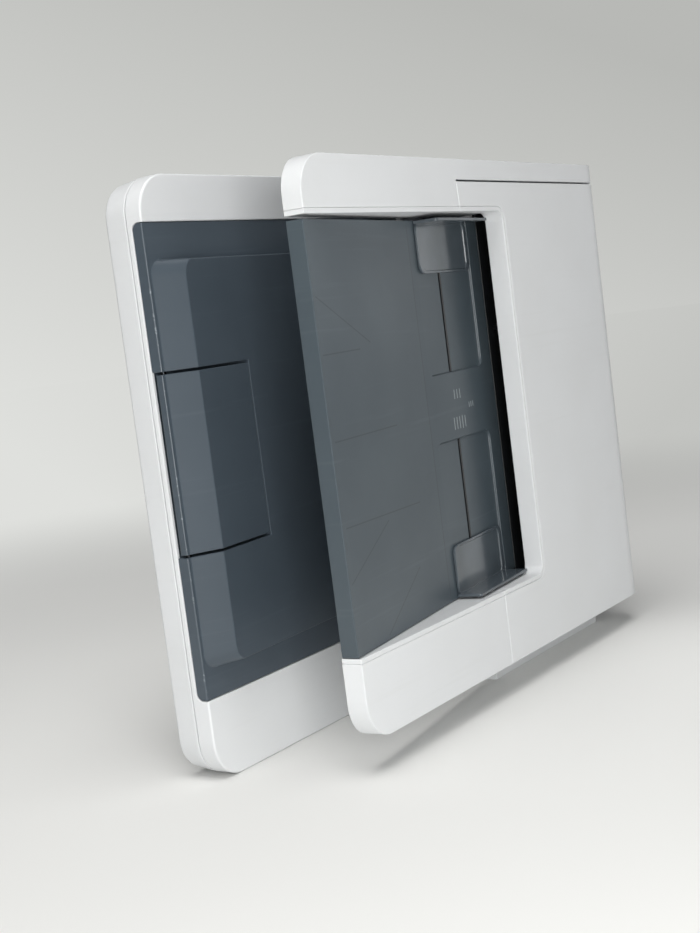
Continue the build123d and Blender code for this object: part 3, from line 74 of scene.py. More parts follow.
def add(tree, kind, inputs=None, **settings):
    """Adds a node, sets its properties, and sets or links its inputs."""
    made = tree.nodes.new(kind)
    for name, value in settings.items():
        setattr(made, name, value)
    for socket, value in (inputs or {}).items():
        if isinstance(value, bpy.types.NodeSocket):
            tree.links.new(value, made.inputs[socket])
        else:
            made.inputs[socket].default_value = value
    return made


def new_material(name):
    """An empty material, with its node tree and its Object coordinates."""
    material = bpy.data.materials.new(name)
    material.use_nodes = True
    tree = material.node_tree
    tree.nodes.clear()
    return material, tree, add(tree, "ShaderNodeTexCoord").outputs["Object"]


def line_mask(tree, place, lines, width):
    """A mask of thin straight lines, each given by its ends in plan."""
    flat = add(tree, "ShaderNodeVectorMath", {0: place, 1: (1.0, 0.0, 1.0)}, operation="MULTIPLY")
    mask = 0.0
    for start, stop in lines:
        run = Vector((stop[0] - start[0], 0.0, stop[1] - start[1]))
        off = add(
            tree,
            "ShaderNodeVectorMath",
            {0: flat.outputs[0], 1: (start[0], 0.0, start[1])},
            operation="SUBTRACT",
        )
        share = add(
            tree,
            "ShaderNodeVectorMath",
            {0: off.outputs[0], 1: run / run.length_squared},
            operation="DOT_PRODUCT",
        )
        held = add(tree, "ShaderNodeMath", {0: share.outputs["Value"], 1: 0.0}, use_clamp=True)
        spot = add(
            tree, "ShaderNodeVectorMath", {0: run, "Scale": held.outputs[0]}, operation="SCALE"
        )
        gap = add(
            tree,
            "ShaderNodeVectorMath",
            {0: off.outputs[0], 1: spot.outputs[0]},
            operation="DISTANCE",
        )
        line = add(
            tree,
            "ShaderNodeMapRange",
            {
                "Value": gap.outputs["Value"],
                "From Min": width * 0.3,
                "From Max": width,
                "To Min": 1.0,
                "To Max": 0.0,
            },
        )
        mask = add(
            tree, "ShaderNodeMath", {0: mask, 1: line.outputs[0]}, operation="MAXIMUM"
        ).outputs[0]
    return mask


def moulded_abs(name, colour, rubbed, gloss, streaks=0.2, lines=(), bend=None):
    """ABS from an eroded mould, with a soft sheen that breaks up along the edges.

    Its tone changes slowly, with faint rubbed streaks where hands and paper have passed. Lines are
    drawn darker: scratches, and painted shade where one follows a crease. Along a bend, given by its
    x and y, the corner is chipped pale."""
    grain = 0.0006  # really 0.05 mm, drawn coarser, so that it shows
    material, tree, place = new_material(name)
    pebbles = add(tree, "ShaderNodeTexNoise", {"Vector": place, "Scale": 1 / grain, "Detail": 2.0})
    clouds = add(tree, "ShaderNodeTexNoise", {"Vector": place, "Scale": 16.0, "Detail": 4.0})
    turned = add(
        tree,
        "ShaderNodeMapping",
        {"Vector": place, "Rotation": (0.35, 0.2, 0.5), "Scale": (9.0, 9.0, 260.0)},
    )
    passes = add(
        tree, "ShaderNodeTexNoise", {"Vector": turned.outputs[0], "Scale": 1.0, "Detail": 3.0}
    )
    streak = add(
        tree,
        "ShaderNodeMapRange",
        {"Value": passes.outputs["Fac"], "From Min": 0.6, "From Max": 0.78, "To Max": streaks},
    )
    tone = add(
        tree,
        "ShaderNodeMapRange",
        {"Value": clouds.outputs["Fac"], "From Min": 0.35, "From Max": 0.75, "To Max": 0.22},
    )
    rub = add(tree, "ShaderNodeMath", {0: streak.outputs[0], 1: tone.outputs[0]}, operation="ADD")
    paint = add(
        tree,
        "ShaderNodeMix",
        {"Factor": rub.outputs[0], 6: linear(colour), 7: linear(rubbed)},
        data_type="RGBA",
    )
    # The darker lines are scratches; where one follows a crease it is painted shade.
    if lines:
        scratch_and_crease_width = 0.0005
        scratch_and_crease_shade = add(
            tree,
            "ShaderNodeMath",
            {0: line_mask(tree, place, lines, scratch_and_crease_width), 1: 0.55},
            operation="MULTIPLY",
        )
        paint = add(
            tree,
            "ShaderNodeMix",
            {"Factor": scratch_and_crease_shade.outputs[0], 6: paint.outputs[2], 7: linear("#23292C")},
            data_type="RGBA",
        )
    if bend:
        level = add(
            tree, "ShaderNodeVectorMath", {0: place, 1: (1.0, 1.0, 0.0)}, operation="MULTIPLY"
        )
        gap = add(
            tree,
            "ShaderNodeVectorMath",
            {0: level.outputs[0], 1: (*bend, 0.0)},
            operation="DISTANCE",
        )
        near = add(
            tree,
            "ShaderNodeMapRange",
            {
                "Value": gap.outputs["Value"],
                "From Min": 0.0002,
                "From Max": 0.001,
                "To Min": 0.8,
                "To Max": 0.0,
            },
        )
        knocks = add(
            tree,
            "ShaderNodeTexNoise",
            {"Vector": place, "Scale": 160.0, "Detail": 3.0, "Roughness": 0.7},
        )
        bare = add(
            tree,
            "ShaderNodeMapRange",
            {"Value": knocks.outputs["Fac"], "From Min": 0.56, "From Max": 0.66},
        )
        chips = add(
            tree, "ShaderNodeMath", {0: near.outputs[0], 1: bare.outputs[0]}, operation="MULTIPLY"
        )
        paint = add(
            tree,
            "ShaderNodeMix",
            {"Factor": chips.outputs[0], 6: paint.outputs[2], 7: linear("#959CA2")},
            data_type="RGBA",
        )
    polish = add(
        tree,
        "ShaderNodeMapRange",
        {"Value": rub.outputs[0], "To Min": gloss + 0.03, "To Max": gloss - 0.12},
    )
    bump = add(
        tree,
        "ShaderNodeBump",
        {"Strength": 0.35, "Distance": grain / 12, "Height": pebbles.outputs["Fac"]},
    )
    shader = add(
        tree,
        "ShaderNodeBsdfPrincipled",
        {
            "Base Color": paint.outputs[2],
            "Roughness": polish.outputs[0],
            "IOR": 1.53,
            "Normal": bump.outputs[0],
        },
    )
    add(tree, "ShaderNodeOutputMaterial", {"Surface": shader.outputs[0]})
    return material


def stand_for(piece, node):
    """Hangs a finished piece on the body of the node that it stands for."""
    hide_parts(node)
    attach(piece, frame["nodes"][node]["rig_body"])


def plain(piece):
    """Applies a piece's modifiers to its mesh."""
    shape = bpy.data.meshes.new_from_object(piece.evaluated_get(bpy.context.evaluated_depsgraph_get()))
    piece.modifiers.clear()
    piece.data = shape


merge_distance = 2e-6


def with_edges(source):
    """A merged copy of a node's mesh, smooth but for the edges where its own normals break."""
    least_break = math.radians(2)
    shape = bmesh.new()
    shape.from_mesh(source)
    normal = shape.loops.layers.float_vector.new("own_normal")
    for facet, polygon in zip(shape.faces, source.polygons):
        for loop, index in zip(facet.loops, polygon.loop_indices):
            loop[normal] = source.corner_normals[index].vector
    bmesh.ops.remove_doubles(shape, verts=shape.verts, dist=merge_distance)
    for edge in shape.edges:
        edge.smooth = True
        if len(edge.link_loops) == 2:
            one, two = edge.link_loops
            for loop, other in ((one, two.link_loop_next), (one.link_loop_next, two)):
                turn = Vector(loop[normal]).angle(Vector(other[normal]), 0.0)
                edge.smooth = edge.smooth and turn < least_break
    shape.loops.layers.float_vector.remove(normal)
    return shape


def rounded(piece, shape, radius):
    """Rounds the marked edges, then shades the broad faces flat and the rounded ones between."""
    shape.to_mesh(piece.data)
    if "custom_normal" in piece.data.attributes:
        piece.data.attributes.remove(piece.data.attributes["custom_normal"])
    edge = piece.modifiers.new("edges", "BEVEL")
    edge.width = radius
    edge.segments = 2
    edge.limit_method = "WEIGHT"
    edge.use_clamp_overlap = False
    edge.loop_slide = False
    sheen = piece.modifiers.new("sheen", "WEIGHTED_NORMAL")
    sheen.mode = "FACE_AREA"
    sheen.weight = 70
    sheen.keep_sharp = True
    plain(piece)


def soften(node, finish, radius, finishes=(), pick=None):
    """Puts a copy of a node in its place, with the edges rounded as they come from a mould.

    An edge stays sharp where its rounding would leave the node's own surface: such edges are
    looked for ever farther from the spots that stray, over at most five reaches, stopping early when
    none is left."""
    least_turn = math.radians(20)
    sample_step = 0.002
    most_stray = radius * 0.9
    piece = bpy.data.objects.new(node + "_body", bpy.data.meshes.new(node + "_body"))
    bpy.context.scene.collection.objects.link(piece)
    shape = with_edges(frame["nodes"][node].data)
    surface = BVHTree.FromBMesh(shape)
    weight = shape.edges.layers.float.new("bevel_weight_edge")
    for edge in shape.edges:
        if not edge.smooth and edge.calc_face_angle(0.0) > least_turn:
            edge[weight] = 1.0
            edge.smooth = True
    for reach in (0.001, 0.002, 0.003, 0.005, 0.008):
        rounded(piece, shape, radius)
        spots = [v.co for v in piece.data.vertices] + [f.center for f in piece.data.polygons]
        stray = [spot for spot in spots if surface.find_nearest(spot)[3] > most_stray]
        if not stray:
            break
        near = KDTree(len(stray))
        for i, spot in enumerate(stray):
            near.insert(spot, i)
        near.balance()
        for edge in shape.edges:
            start, stop = (vert.co for vert in edge.verts)
            steps = max(1, int((stop - start).length / sample_step))
            along = (start.lerp(stop, i / steps) for i in range(steps + 1))
            if edge[weight] and any(near.find(spot)[2] < reach for spot in along):
                edge[weight] = 0.0
                edge.smooth = False
    shape.free()
    piece.data.materials.clear()
    for material in (finish, *finishes):
        piece.data.materials.append(material)
    if pick:
        for facet in piece.data.polygons:
            facet.material_index = pick(facet.center)
    stand_for(piece, node)


white_abs = moulded_abs("moulded_white_abs", "#E6E8EA", "#D6D7D6", gloss=0.44, streaks=0.12)
soften("lid_lower_shell", white_abs, 0.0006)
soften("lid_upper_shell", white_abs, 0.0005)


# Lid screws
# Six pan-head self-tapping screws of zinc-plated steel, sunk in the lower shell, and four more
# that hold the feeder's base. Each has a cross recess, and no two stop at the same angle.
def zinc_plate(name, colour, dull):
    """Cold-rolled steel with clear zinc: bright grey and soft, with crystals about 3 mm across."""
    material, tree, place = new_material(name)
    crystals = add(tree, "ShaderNodeTexVoronoi", {"Vector": place, "Scale": 350.0})
    clouds = add(tree, "ShaderNodeTexNoise", {"Vector": place, "Scale": 60.0, "Detail": 4.0})
    both = add(
        tree,
        "ShaderNodeMix",
        {"Factor": 0.35, 2: clouds.outputs["Fac"], 3: crystals.outputs["Distance"]},
    )
    paint = add(
        tree,
        "ShaderNodeMix",
        {"Factor": both.outputs[0], 6: linear(colour), 7: linear(dull)},
        data_type="RGBA",
    )
    polish = add(
        tree, "ShaderNodeMapRange", {"Value": both.outputs[0], "To Min": 0.28, "To Max": 0.48}
    )
    shader = add(
        tree,
        "ShaderNodeBsdfPrincipled",
        {"Base Color": paint.outputs[2], "Roughness": polish.outputs[0], "Metallic": 1.0},
    )
    add(tree, "ShaderNodeOutputMaterial", {"Surface": shader.outputs[0]})
    return material


def input_to(tree, name, kind, value):
    """Adds a named input to a tree and gives its identifier."""
    socket = tree.interface.new_socket(name, in_out="INPUT", socket_type=kind)
    socket.default_value = value
    return socket.identifier


head_height = 0.002


def screw_tree(metal):
    """One screw at each point: a tapered head with a cross recess, on a plain shank."""
    crown, cross_reach, cross_width = 0.72, 1.05, 0.24
    tree = bpy.data.node_groups.new("cross_head_screws", "GeometryNodeTree")
    tree.interface.new_socket("Geometry", in_out="INPUT", socket_type="NodeSocketGeometry")
    tree.interface.new_socket("Geometry", in_out="OUTPUT", socket_type="NodeSocketGeometry")
    sockets = {
        "Head Radius": input_to(tree, "Head Radius", "NodeSocketFloat", 0.0028),
        "Head Height": input_to(tree, "Head Height", "NodeSocketFloat", head_height),
        "Shank Radius": input_to(tree, "Shank Radius", "NodeSocketFloat", 0.0015),
        "Shank Length": input_to(tree, "Shank Length", "NodeSocketFloat", 0.01),
        "Tilt": input_to(tree, "Tilt", "NodeSocketFloat", 0.0),
    }
    given = add(tree, "NodeGroupInput").outputs
    head = add(
        tree,
        "GeometryNodeMeshCone",
        {
            "Vertices": 28,
            "Radius Top": add(
                tree, "ShaderNodeMath", {0: given["Head Radius"], 1: crown}, operation="MULTIPLY"
            ).outputs[0],
            "Radius Bottom": given["Head Radius"],
            "Depth": given["Head Height"],
        },
    )
    arm_size = add(
        tree,
        "ShaderNodeCombineXYZ",
        {
            0: add(
                tree, "ShaderNodeMath", {0: given["Head Radius"], 1: cross_reach}, operation="MULTIPLY"
            ).outputs[0],
            1: add(
                tree, "ShaderNodeMath", {0: given["Head Radius"], 1: cross_width}, operation="MULTIPLY"
            ).outputs[0],
            2: given["Head Height"],
        },
    )
    lift = add(tree, "ShaderNodeCombineXYZ", {2: given["Head Height"]})
    arm = add(tree, "GeometryNodeMeshCube", {"Size": arm_size.outputs[0]})
    cuts = []
    for turn in (0.0, math.pi / 2):
        cuts.append(
            add(
                tree,
                "GeometryNodeTransform",
                {
                    "Geometry": arm.outputs[0],
                    "Translation": lift.outputs[0],
                    "Rotation": (0.0, 0.0, turn),
                },
            ).outputs[0]
        )
    recessed = add(
        tree, "GeometryNodeMeshBoolean", {"Mesh 1": head.outputs[0]}, operation="DIFFERENCE"
    )
    for cut in cuts:
        tree.links.new(cut, recessed.inputs["Mesh 2"])
    shank = add(
        tree,
        "GeometryNodeMeshCylinder",
        {
            "Vertices": 20,
            "Radius": given["Shank Radius"],
            "Depth": given["Shank Length"],
        },
    )
    drop = add(
        tree,
        "ShaderNodeMath",
        {0: given["Shank Length"], 1: -0.5},
        operation="MULTIPLY",
    )
    low = add(tree, "ShaderNodeCombineXYZ", {2: drop.outputs[0]})
    hung = add(
        tree, "GeometryNodeTransform", {"Geometry": shank.outputs[0], "Translation": low.outputs[0]}
    )
    whole = add(tree, "GeometryNodeJoinGeometry")
    tree.links.new(recessed.outputs[0], whole.inputs[0])
    tree.links.new(hung.outputs[0], whole.inputs[0])
    spin = add(
        tree,
        "FunctionNodeRandomValue",
        {"Max": math.pi, "Seed": 4},
        data_type="FLOAT",
    )
    stopped = add(tree, "ShaderNodeCombineXYZ", {0: given["Tilt"], 1: spin.outputs[1]})
    turned = add(
        tree,
        "GeometryNodeInstanceOnPoints",
        {
            "Points": given["Geometry"],
            "Instance": whole.outputs[0],
            "Rotation": stopped.outputs[0],
        },
    )
    real = add(tree, "GeometryNodeRealizeInstances", {0: turned.outputs[0]})
    done = add(tree, "GeometryNodeSetMaterial", {"Geometry": real.outputs[0], "Material": metal})
    add(tree, "NodeGroupOutput", {0: done.outputs[0]})
    return tree, sockets


def grow(name, points, tree, sockets, values):
    """Runs a tree on a few points and keeps what it makes as a plain mesh."""
    seed = bpy.data.meshes.new(name)
    seed.from_pydata(points, [], [])
    piece = bpy.data.objects.new(name, seed)
    bpy.context.scene.collection.objects.link(piece)
    maker = piece.modifiers.new("maker", "NODES")
    maker.node_group = tree
    for socket, value in values.items():
        maker[sockets[socket]] = value
    plain(piece)
    return piece


def head_seats(node, outward):
    """Where the heads of a node's screws sit, from the box of each separate solid.

    Outward is 1 where the heads look along +Y, and -1 where they look along -Y."""
    shape = bmesh.new()
    shape.from_mesh(frame["nodes"][node].data)
    bmesh.ops.remove_doubles(shape, verts=shape.verts, dist=merge_distance)
    seats, seen = [], set()
    for vert in shape.verts:
        if vert in seen:
            continue
        group, front = [], [vert]
        seen.add(vert)
        while front:
            here = front.pop()
            group.append(here.co.copy())
            for edge in here.link_edges:
                other = edge.other_vert(here)
                if other not in seen:
                    seen.add(other)
                    front.append(other)
        x = (min(c.x for c in group) + max(c.x for c in group)) / 2
        z = (min(c.z for c in group) + max(c.z for c in group)) / 2
        far = max(group, key=lambda c: c.y * outward).y
        seats.append((x, far - outward * head_height / 2, z))
    shape.free()
    return seats


zinc = zinc_plate("zinc_plated_steel", "#C9CCD0", "#8E9297")
lid_shank, base_shank = 0.0145, 0.0095
screws, screw_sockets = screw_tree(zinc)
lid_screws = grow(
    "lid_screw_set",
    head_seats("lid_screws", 1),
    screws,
    screw_sockets,
    {"Tilt": -math.pi / 2, "Shank Length": lid_shank},
)
stand_for(lid_screws, "lid_screws")
base_screws = grow(
    "base_screw_set",
    head_seats("base_screws", -1),
    screws,
    screw_sockets,
    {"Tilt": math.pi / 2, "Shank Length": base_shank},
)
stand_for(base_screws, "base_screws")


# Document pad
# A sheet of closed-cell foam glued under the lid, die cut and a little proud at its edges, faced
# with a white polyester film that the scanner sees behind a page.
def cell_foam():
    """Polyethylene foam: matt, with pinholes about 0.8 mm across on the cut edges."""
    material, tree, place = new_material("closed_cell_foam")
    cells = add(tree, "ShaderNodeTexVoronoi", {"Vector": place, "Scale": 1100.0})
    paint = add(
        tree,
        "ShaderNodeMix",
        {"Factor": cells.outputs["Distance"], 6: linear("#B9BCBE"), 7: linear("#D8DADB")},
        data_type="RGBA",
    )
    bump = add(
        tree,
        "ShaderNodeBump",
        {"Strength": 0.6, "Distance": 0.0002, "Height": cells.outputs["Distance"]},
    )
    shader = add(
        tree,
        "ShaderNodeBsdfPrincipled",
        {
            "Base Color": paint.outputs[2],
            "Roughness": 0.85,
            "IOR": 1.5,
            "Sheen Weight": 0.15,
            "Normal": bump.outputs[0],
        },
    )
    add(tree, "ShaderNodeOutputMaterial", {"Surface": shader.outputs[0]})
    return material


def polyester_film():
    """White film, calendered smooth, with a slight orange-peel ripple about 3 mm apart."""
    material, tree, place = new_material("white_polyester_film")
    ripple = add(tree, "ShaderNodeTexNoise", {"Vector": place, "Scale": 330.0, "Detail": 1.0})
    dust = add(tree, "ShaderNodeTexNoise", {"Vector": place, "Scale": 24.0, "Detail": 5.0})
    paint = add(
        tree,
        "ShaderNodeMix",
        {"Factor": dust.outputs["Fac"], 6: linear("#F1F2F2"), 7: linear("#E6E7E6")},
        data_type="RGBA",
    )
    polish = add(
        tree, "ShaderNodeMapRange", {"Value": dust.outputs["Fac"], "To Min": 0.22, "To Max": 0.36}
    )
    bump = add(
        tree,
        "ShaderNodeBump",
        {"Strength": 0.15, "Distance": 0.0001, "Height": ripple.outputs["Fac"]},
    )
    shader = add(
        tree,
        "ShaderNodeBsdfPrincipled",
        {
            "Base Color": paint.outputs[2],
            "Roughness": polish.outputs[0],
            "IOR": 1.64,
            "Normal": bump.outputs[0],
        },
    )
    add(tree, "ShaderNodeOutputMaterial", {"Surface": shader.outputs[0]})
    return material


def around(steps_x, steps_z):
    """Shares of a rectangle's width and height, evenly round it from its low corner."""
    for i in range(steps_x):
        yield i / steps_x, 0.0
    for i in range(steps_z):
        yield 1.0, i / steps_z
    for i in range(steps_x):
        yield 1.0 - i / steps_x, 1.0
    for i in range(steps_z):
        yield 0.0, 1.0 - i / steps_z


def foam_pad():
    """Rings round the pad from face to face, with round corners and a slightly swollen edge."""
    low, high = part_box("backing_foam")
    middle, half, size = (low + high) / 2, (high - low) / 2, high - low
    layers, corner, swell = 3, 0.003, 0.0005
    shape = bmesh.new()
    rows = []
    for layer in range(layers + 1):
        level = low.y + size.y * layer / layers
        out = swell * math.sin(math.pi * layer / layers) - swell
        ring = []
        for x, z in around(steps_x=60, steps_z=44):
            spot = Vector((low.x + size.x * x, level, low.z + size.z * z))
            past = [abs(spot[i] - middle[i]) - (half[i] - corner) for i in (0, 2)]
            if min(past) > 0 and math.hypot(*past) > corner:
                shrink = corner / math.hypot(*past)
                for i, part in zip((0, 2), past):
                    reach = half[i] - corner + part * shrink
                    spot[i] = middle[i] + math.copysign(reach, spot[i] - middle[i])
            away = Vector((spot.x - middle.x, 0, spot.z - middle.z)).normalized()
            ring.append(shape.verts.new(spot + away * out))
        rows.append(ring)
    for lower, upper in zip(rows, rows[1:]):
        for i in range(len(lower)):
            j = (i + 1) % len(lower)
            shape.faces.new((lower[i], lower[j], upper[j], upper[i]))
    shape.faces.new(rows[0])
    shape.faces.new(list(reversed(rows[-1])))
    bmesh.ops.recalc_face_normals(shape, faces=shape.faces)
    made = bpy.data.meshes.new("document_pad")
    shape.to_mesh(made)
    shape.free()
    piece = bpy.data.objects.new("document_pad", made)
    bpy.context.scene.collection.objects.link(piece)
    made.materials.append(cell_foam())
    return piece


pad = foam_pad()
stand_for(pad, "backing_foam")
soften("backing_sheet", polyester_film(), 0.00015)


# White strip behind the feeder's scanning window
# A white ABS bar on springs, which presses the page to the glass as it passes.
soften("scan_bar", white_abs, 0.0003)


# Output tray and flap
# Dark grey ABS, textured finer than the white shells. The tray snaps into the lid's recess and
# wraps over its end; the stop flap hinges on a steel pin in a pocket of the tray.
tray_corner = (-0.1998, 0.00675)
grey_abs = moulded_abs(
    "moulded_grey_abs", "#465059", "#5E6872", gloss=0.36, bend=tray_corner
)
soften("output_tray", grey_abs, 0.0005)
soften("output_flap", grey_abs, 0.0004)


def ground_steel(name, bright, dark):
    """Centreless-ground shafting: fine rings round the pin, about 0.3 mm apart as drawn."""
    material, tree, place = new_material(name)
    rings = add(
        tree,
        "ShaderNodeTexNoise",
        {
            "Vector": add(
                tree, "ShaderNodeMapping", {"Vector": place, "Scale": (20.0, 20.0, 3000.0)}
            ).outputs[0],
            "Scale": 1.0,
            "Detail": 2.0,
        },
    )
    paint = add(
        tree,
        "ShaderNodeMix",
        {"Factor": rings.outputs["Fac"], 6: linear(bright), 7: linear(dark)},
        data_type="RGBA",
    )
    polish = add(
        tree, "ShaderNodeMapRange", {"Value": rings.outputs["Fac"], "To Min": 0.16, "To Max": 0.34}
    )
    shader = add(
        tree,
        "ShaderNodeBsdfPrincipled",
        {"Base Color": paint.outputs[2], "Roughness": polish.outputs[0], "Metallic": 1.0},
    )
    add(tree, "ShaderNodeOutputMaterial", {"Surface": shader.outputs[0]})
    return material


shaft_steel = ground_steel("ground_steel_shaft", "#D2D4D6", "#A9ACB0")
# The flap's pin is drawn in near-black steel, so that it reads dark through the pocket's gap: painted
# shade.
dark_steel_painted_shade = ground_steel("dark_pin_steel_painted_shade", "#34363A", "#1C1D1F")
soften("flap_pin", dark_steel_painted_shade, 0.0002)


# Feeder base, arms and rails
# White ABS like the lid. The base is a tub screwed to the lid; the arms carry the input tray out
# over the lid, and the rails are the thin inner walls beside the tray.
soften("feeder_base", white_abs, 0.0004)
soften("front_arm", white_abs, 0.0005)
soften("rear_arm", white_abs, 0.0005)
soften("rear_rail", white_abs, 0.0003)
soften("front_rail", white_abs, 0.0003)


# Input tray
# Grey ABS, greyer and more worn than the output tray, because each stack slides over it. Paper
# size marks are printed in pale ink beside the guides, as plain bars.
rub_and_crease_shade_lines = (
    ((-0.1725, 0.1335), (-0.0767, 0.1315)),
    ((-0.1738, 0.1043), (-0.1207, 0.1288)),
    ((-0.1374, 0.0684), (-0.0877, 0.0956)),
    ((-0.1738, 0.2537), (-0.1166, 0.2268)),
    ((-0.1738, 0.2237), (-0.1301, 0.2239)),
    ((-0.1730, 0.1786), (-0.0951, 0.1785)),
    # This line runs along the deck's crease at crease_u: a painted shade line. The lines above are
    # rubbed scratches.
    ((-0.0490, 0.0700), (-0.0490, 0.2900)),
)
tray_abs = moulded_abs("moulded_tray_abs", "#475158", "#626D72", gloss=0.34, lines=rub_and_crease_shade_lines)
black_abs = moulded_abs("moulded_black_abs", "#1D1F21", "#34373A", gloss=0.42)
half_length, lid_face = 0.2, 0.00605
crease_u, crease_w = 0.151, 0.069
inner_angle, outer_slope = math.radians(5), 0.0172 / 0.1282
slot_x, slot_reach = -0.01025, 0.0021


def deck_point(u, v, rise=0.0):
    """A point on the deck: u from the tray end and v from the rear edge, in metres."""
    if u > crease_u:
        w = crease_w - (u - crease_u) * math.tan(inner_angle)
    else:
        w = crease_w + (crease_u - u) * outer_slope
    return (u - half_length, lid_face - w - rise, v)


def slot_painted_shade(centre):
    """The walls and edges of the guides' slots are drawn in black ABS: painted shade for the dark
    inside of the tray.
    """
    skin = 0.00004
    deck = deck_point(centre.x + half_length, centre.z)[1]
    return 1 if abs(centre.x - slot_x) < slot_reach and centre.y > deck + skin else 0


# The guides' slots get black walls: painted shade.
soften("input_tray", tray_abs, 0.0005, (black_abs,), slot_painted_shade)
soften("tray_underside", tray_abs, 0.0004)


def mark_tree(ink):
    """A row of printed bars at each point, each a little longer or shorter, along the deck."""
    tree = bpy.data.node_groups.new("size_marks", "GeometryNodeTree")
    tree.interface.new_socket("Geometry", in_out="INPUT", socket_type="NodeSocketGeometry")
    tree.interface.new_socket("Geometry", in_out="OUTPUT", socket_type="NodeSocketGeometry")
    sockets = {
        "Bars": input_to(tree, "Bars", "NodeSocketInt", 3),
        "Bar Length": input_to(tree, "Bar Length", "NodeSocketFloat", 0.009),
        "Bar Width": input_to(tree, "Bar Width", "NodeSocketFloat", 0.0008),
        "Pitch": input_to(tree, "Pitch", "NodeSocketFloat", 0.0022),
        "Ink": input_to(tree, "Ink", "NodeSocketFloat", 0.00006),
        "Slope": input_to(tree, "Slope", "NodeSocketFloat", inner_angle),
    }
    given = add(tree, "NodeGroupInput").outputs
    step = add(tree, "ShaderNodeCombineXYZ", {0: given["Pitch"]})
    line = add(tree, "GeometryNodeMeshLine", {"Count": given["Bars"], "Offset": step.outputs[0]})
    size = add(
        tree,
        "ShaderNodeCombineXYZ",
        {0: given["Bar Width"], 1: given["Ink"], 2: given["Bar Length"]},
    )
    bar = add(tree, "GeometryNodeMeshCube", {"Size": size.outputs[0]})
    shorter = add(
        tree,
        "FunctionNodeRandomValue",
        {"Min": (1.0, 1.0, 0.55), "Max": (1.0, 1.0, 1.0), "Seed": 11},
        data_type="FLOAT_VECTOR",
    )
    group = add(
        tree,
        "GeometryNodeInstanceOnPoints",
        {"Points": line.outputs[0], "Instance": bar.outputs[0], "Scale": shorter.outputs[0]},
    )
    tilt = add(tree, "ShaderNodeCombineXYZ", {2: given["Slope"]})
    groups = add(
        tree,
        "GeometryNodeInstanceOnPoints",
        {
            "Points": given["Geometry"],
            "Instance": group.outputs[0],
            "Rotation": tilt.outputs[0],
        },
    )
    real = add(tree, "GeometryNodeRealizeInstances", {0: groups.outputs[0]})
    done = add(tree, "GeometryNodeSetMaterial", {"Geometry": real.outputs[0], "Material": ink})
    add(tree, "NodeGroupOutput", {0: done.outputs[0]})
    return tree, sockets


def pad_ink():
    """Pad-printed ink: pale grey, thin enough that the plastic shows through in specks."""
    material, tree, place = new_material("pale_pad_print")
    specks = add(tree, "ShaderNodeTexNoise", {"Vector": place, "Scale": 1500.0, "Detail": 2.0})
    paint = add(
        tree,
        "ShaderNodeMix",
        {"Factor": specks.outputs["Fac"], 6: linear("#B4BABB"), 7: linear("#8A9294")},
        data_type="RGBA",
    )
    shader = add(
        tree,
        "ShaderNodeBsdfPrincipled",
        {"Base Color": paint.outputs[2], "Roughness": 0.5, "IOR": 1.5},
    )
    add(tree, "ShaderNodeOutputMaterial", {"Surface": shader.outputs[0]})
    return material


marks, mark_sockets = mark_tree(pad_ink())
clear_of_deck = 0.00001
mark_sets = (
    ("size_marks_near", 0.1856, 0.1695, {"Bars": 5, "Bar Length": 0.0105, "Pitch": 0.0040}),
    ("size_marks_mid", 0.2100, 0.1790, {"Bars": 3, "Bar Length": 0.0045, "Pitch": 0.0028}),
    ("size_marks_far", 0.1900, 0.1872, {"Bars": 3, "Bar Length": 0.0080, "Pitch": 0.0040}),
)
for name, u, v, values in mark_sets:
    size_marks = grow(name, [deck_point(u, v, clear_of_deck)], marks, mark_sockets, values)
    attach(size_marks, "lid")


# Paper guides
# Moulded in the same grey ABS, from a polished mould, so that they are glossy. Racks under the
# deck meet an acetal pinion, which keeps them centred.
def polished_abs():
    """A mirror-polished mould leaves a gloss with hairline scratches about 0.4 mm apart."""
    material, tree, place = new_material("polished_grey_abs")
    turned = add(
        tree,
        "ShaderNodeMapping",
        {"Vector": place, "Rotation": (0.0, 0.6, 0.0), "Scale": (30.0, 30.0, 2400.0)},
    )
    hair = add(tree, "ShaderNodeTexNoise", {"Vector": turned.outputs[0], "Scale": 1.0, "Detail": 2.0})
    clouds = add(tree, "ShaderNodeTexNoise", {"Vector": place, "Scale": 45.0, "Detail": 3.0})
    paint = add(
        tree,
        "ShaderNodeMix",
        {"Factor": clouds.outputs["Fac"], 6: linear("#454D53"), 7: linear("#596168")},
        data_type="RGBA",
    )
    polish = add(
        tree, "ShaderNodeMapRange", {"Value": hair.outputs["Fac"], "To Min": 0.08, "To Max": 0.24}
    )
    bump = add(
        tree,
        "ShaderNodeBump",
        {"Strength": 0.08, "Distance": 0.00003, "Height": hair.outputs["Fac"]},
    )
    shader = add(
        tree,
        "ShaderNodeBsdfPrincipled",
        {
            "Base Color": paint.outputs[2],
            "Roughness": polish.outputs[0],
            "IOR": 1.53,
            "Coat Weight": 0.25,
            "Coat Roughness": 0.06,
            "Normal": bump.outputs[0],
        },
    )
    add(tree, "ShaderNodeOutputMaterial", {"Surface": shader.outputs[0]})
    return material


glossy_abs = polished_abs()
soften("guide_rear", glossy_abs, 0.0003)
soften("guide_front", glossy_abs, 0.0003)


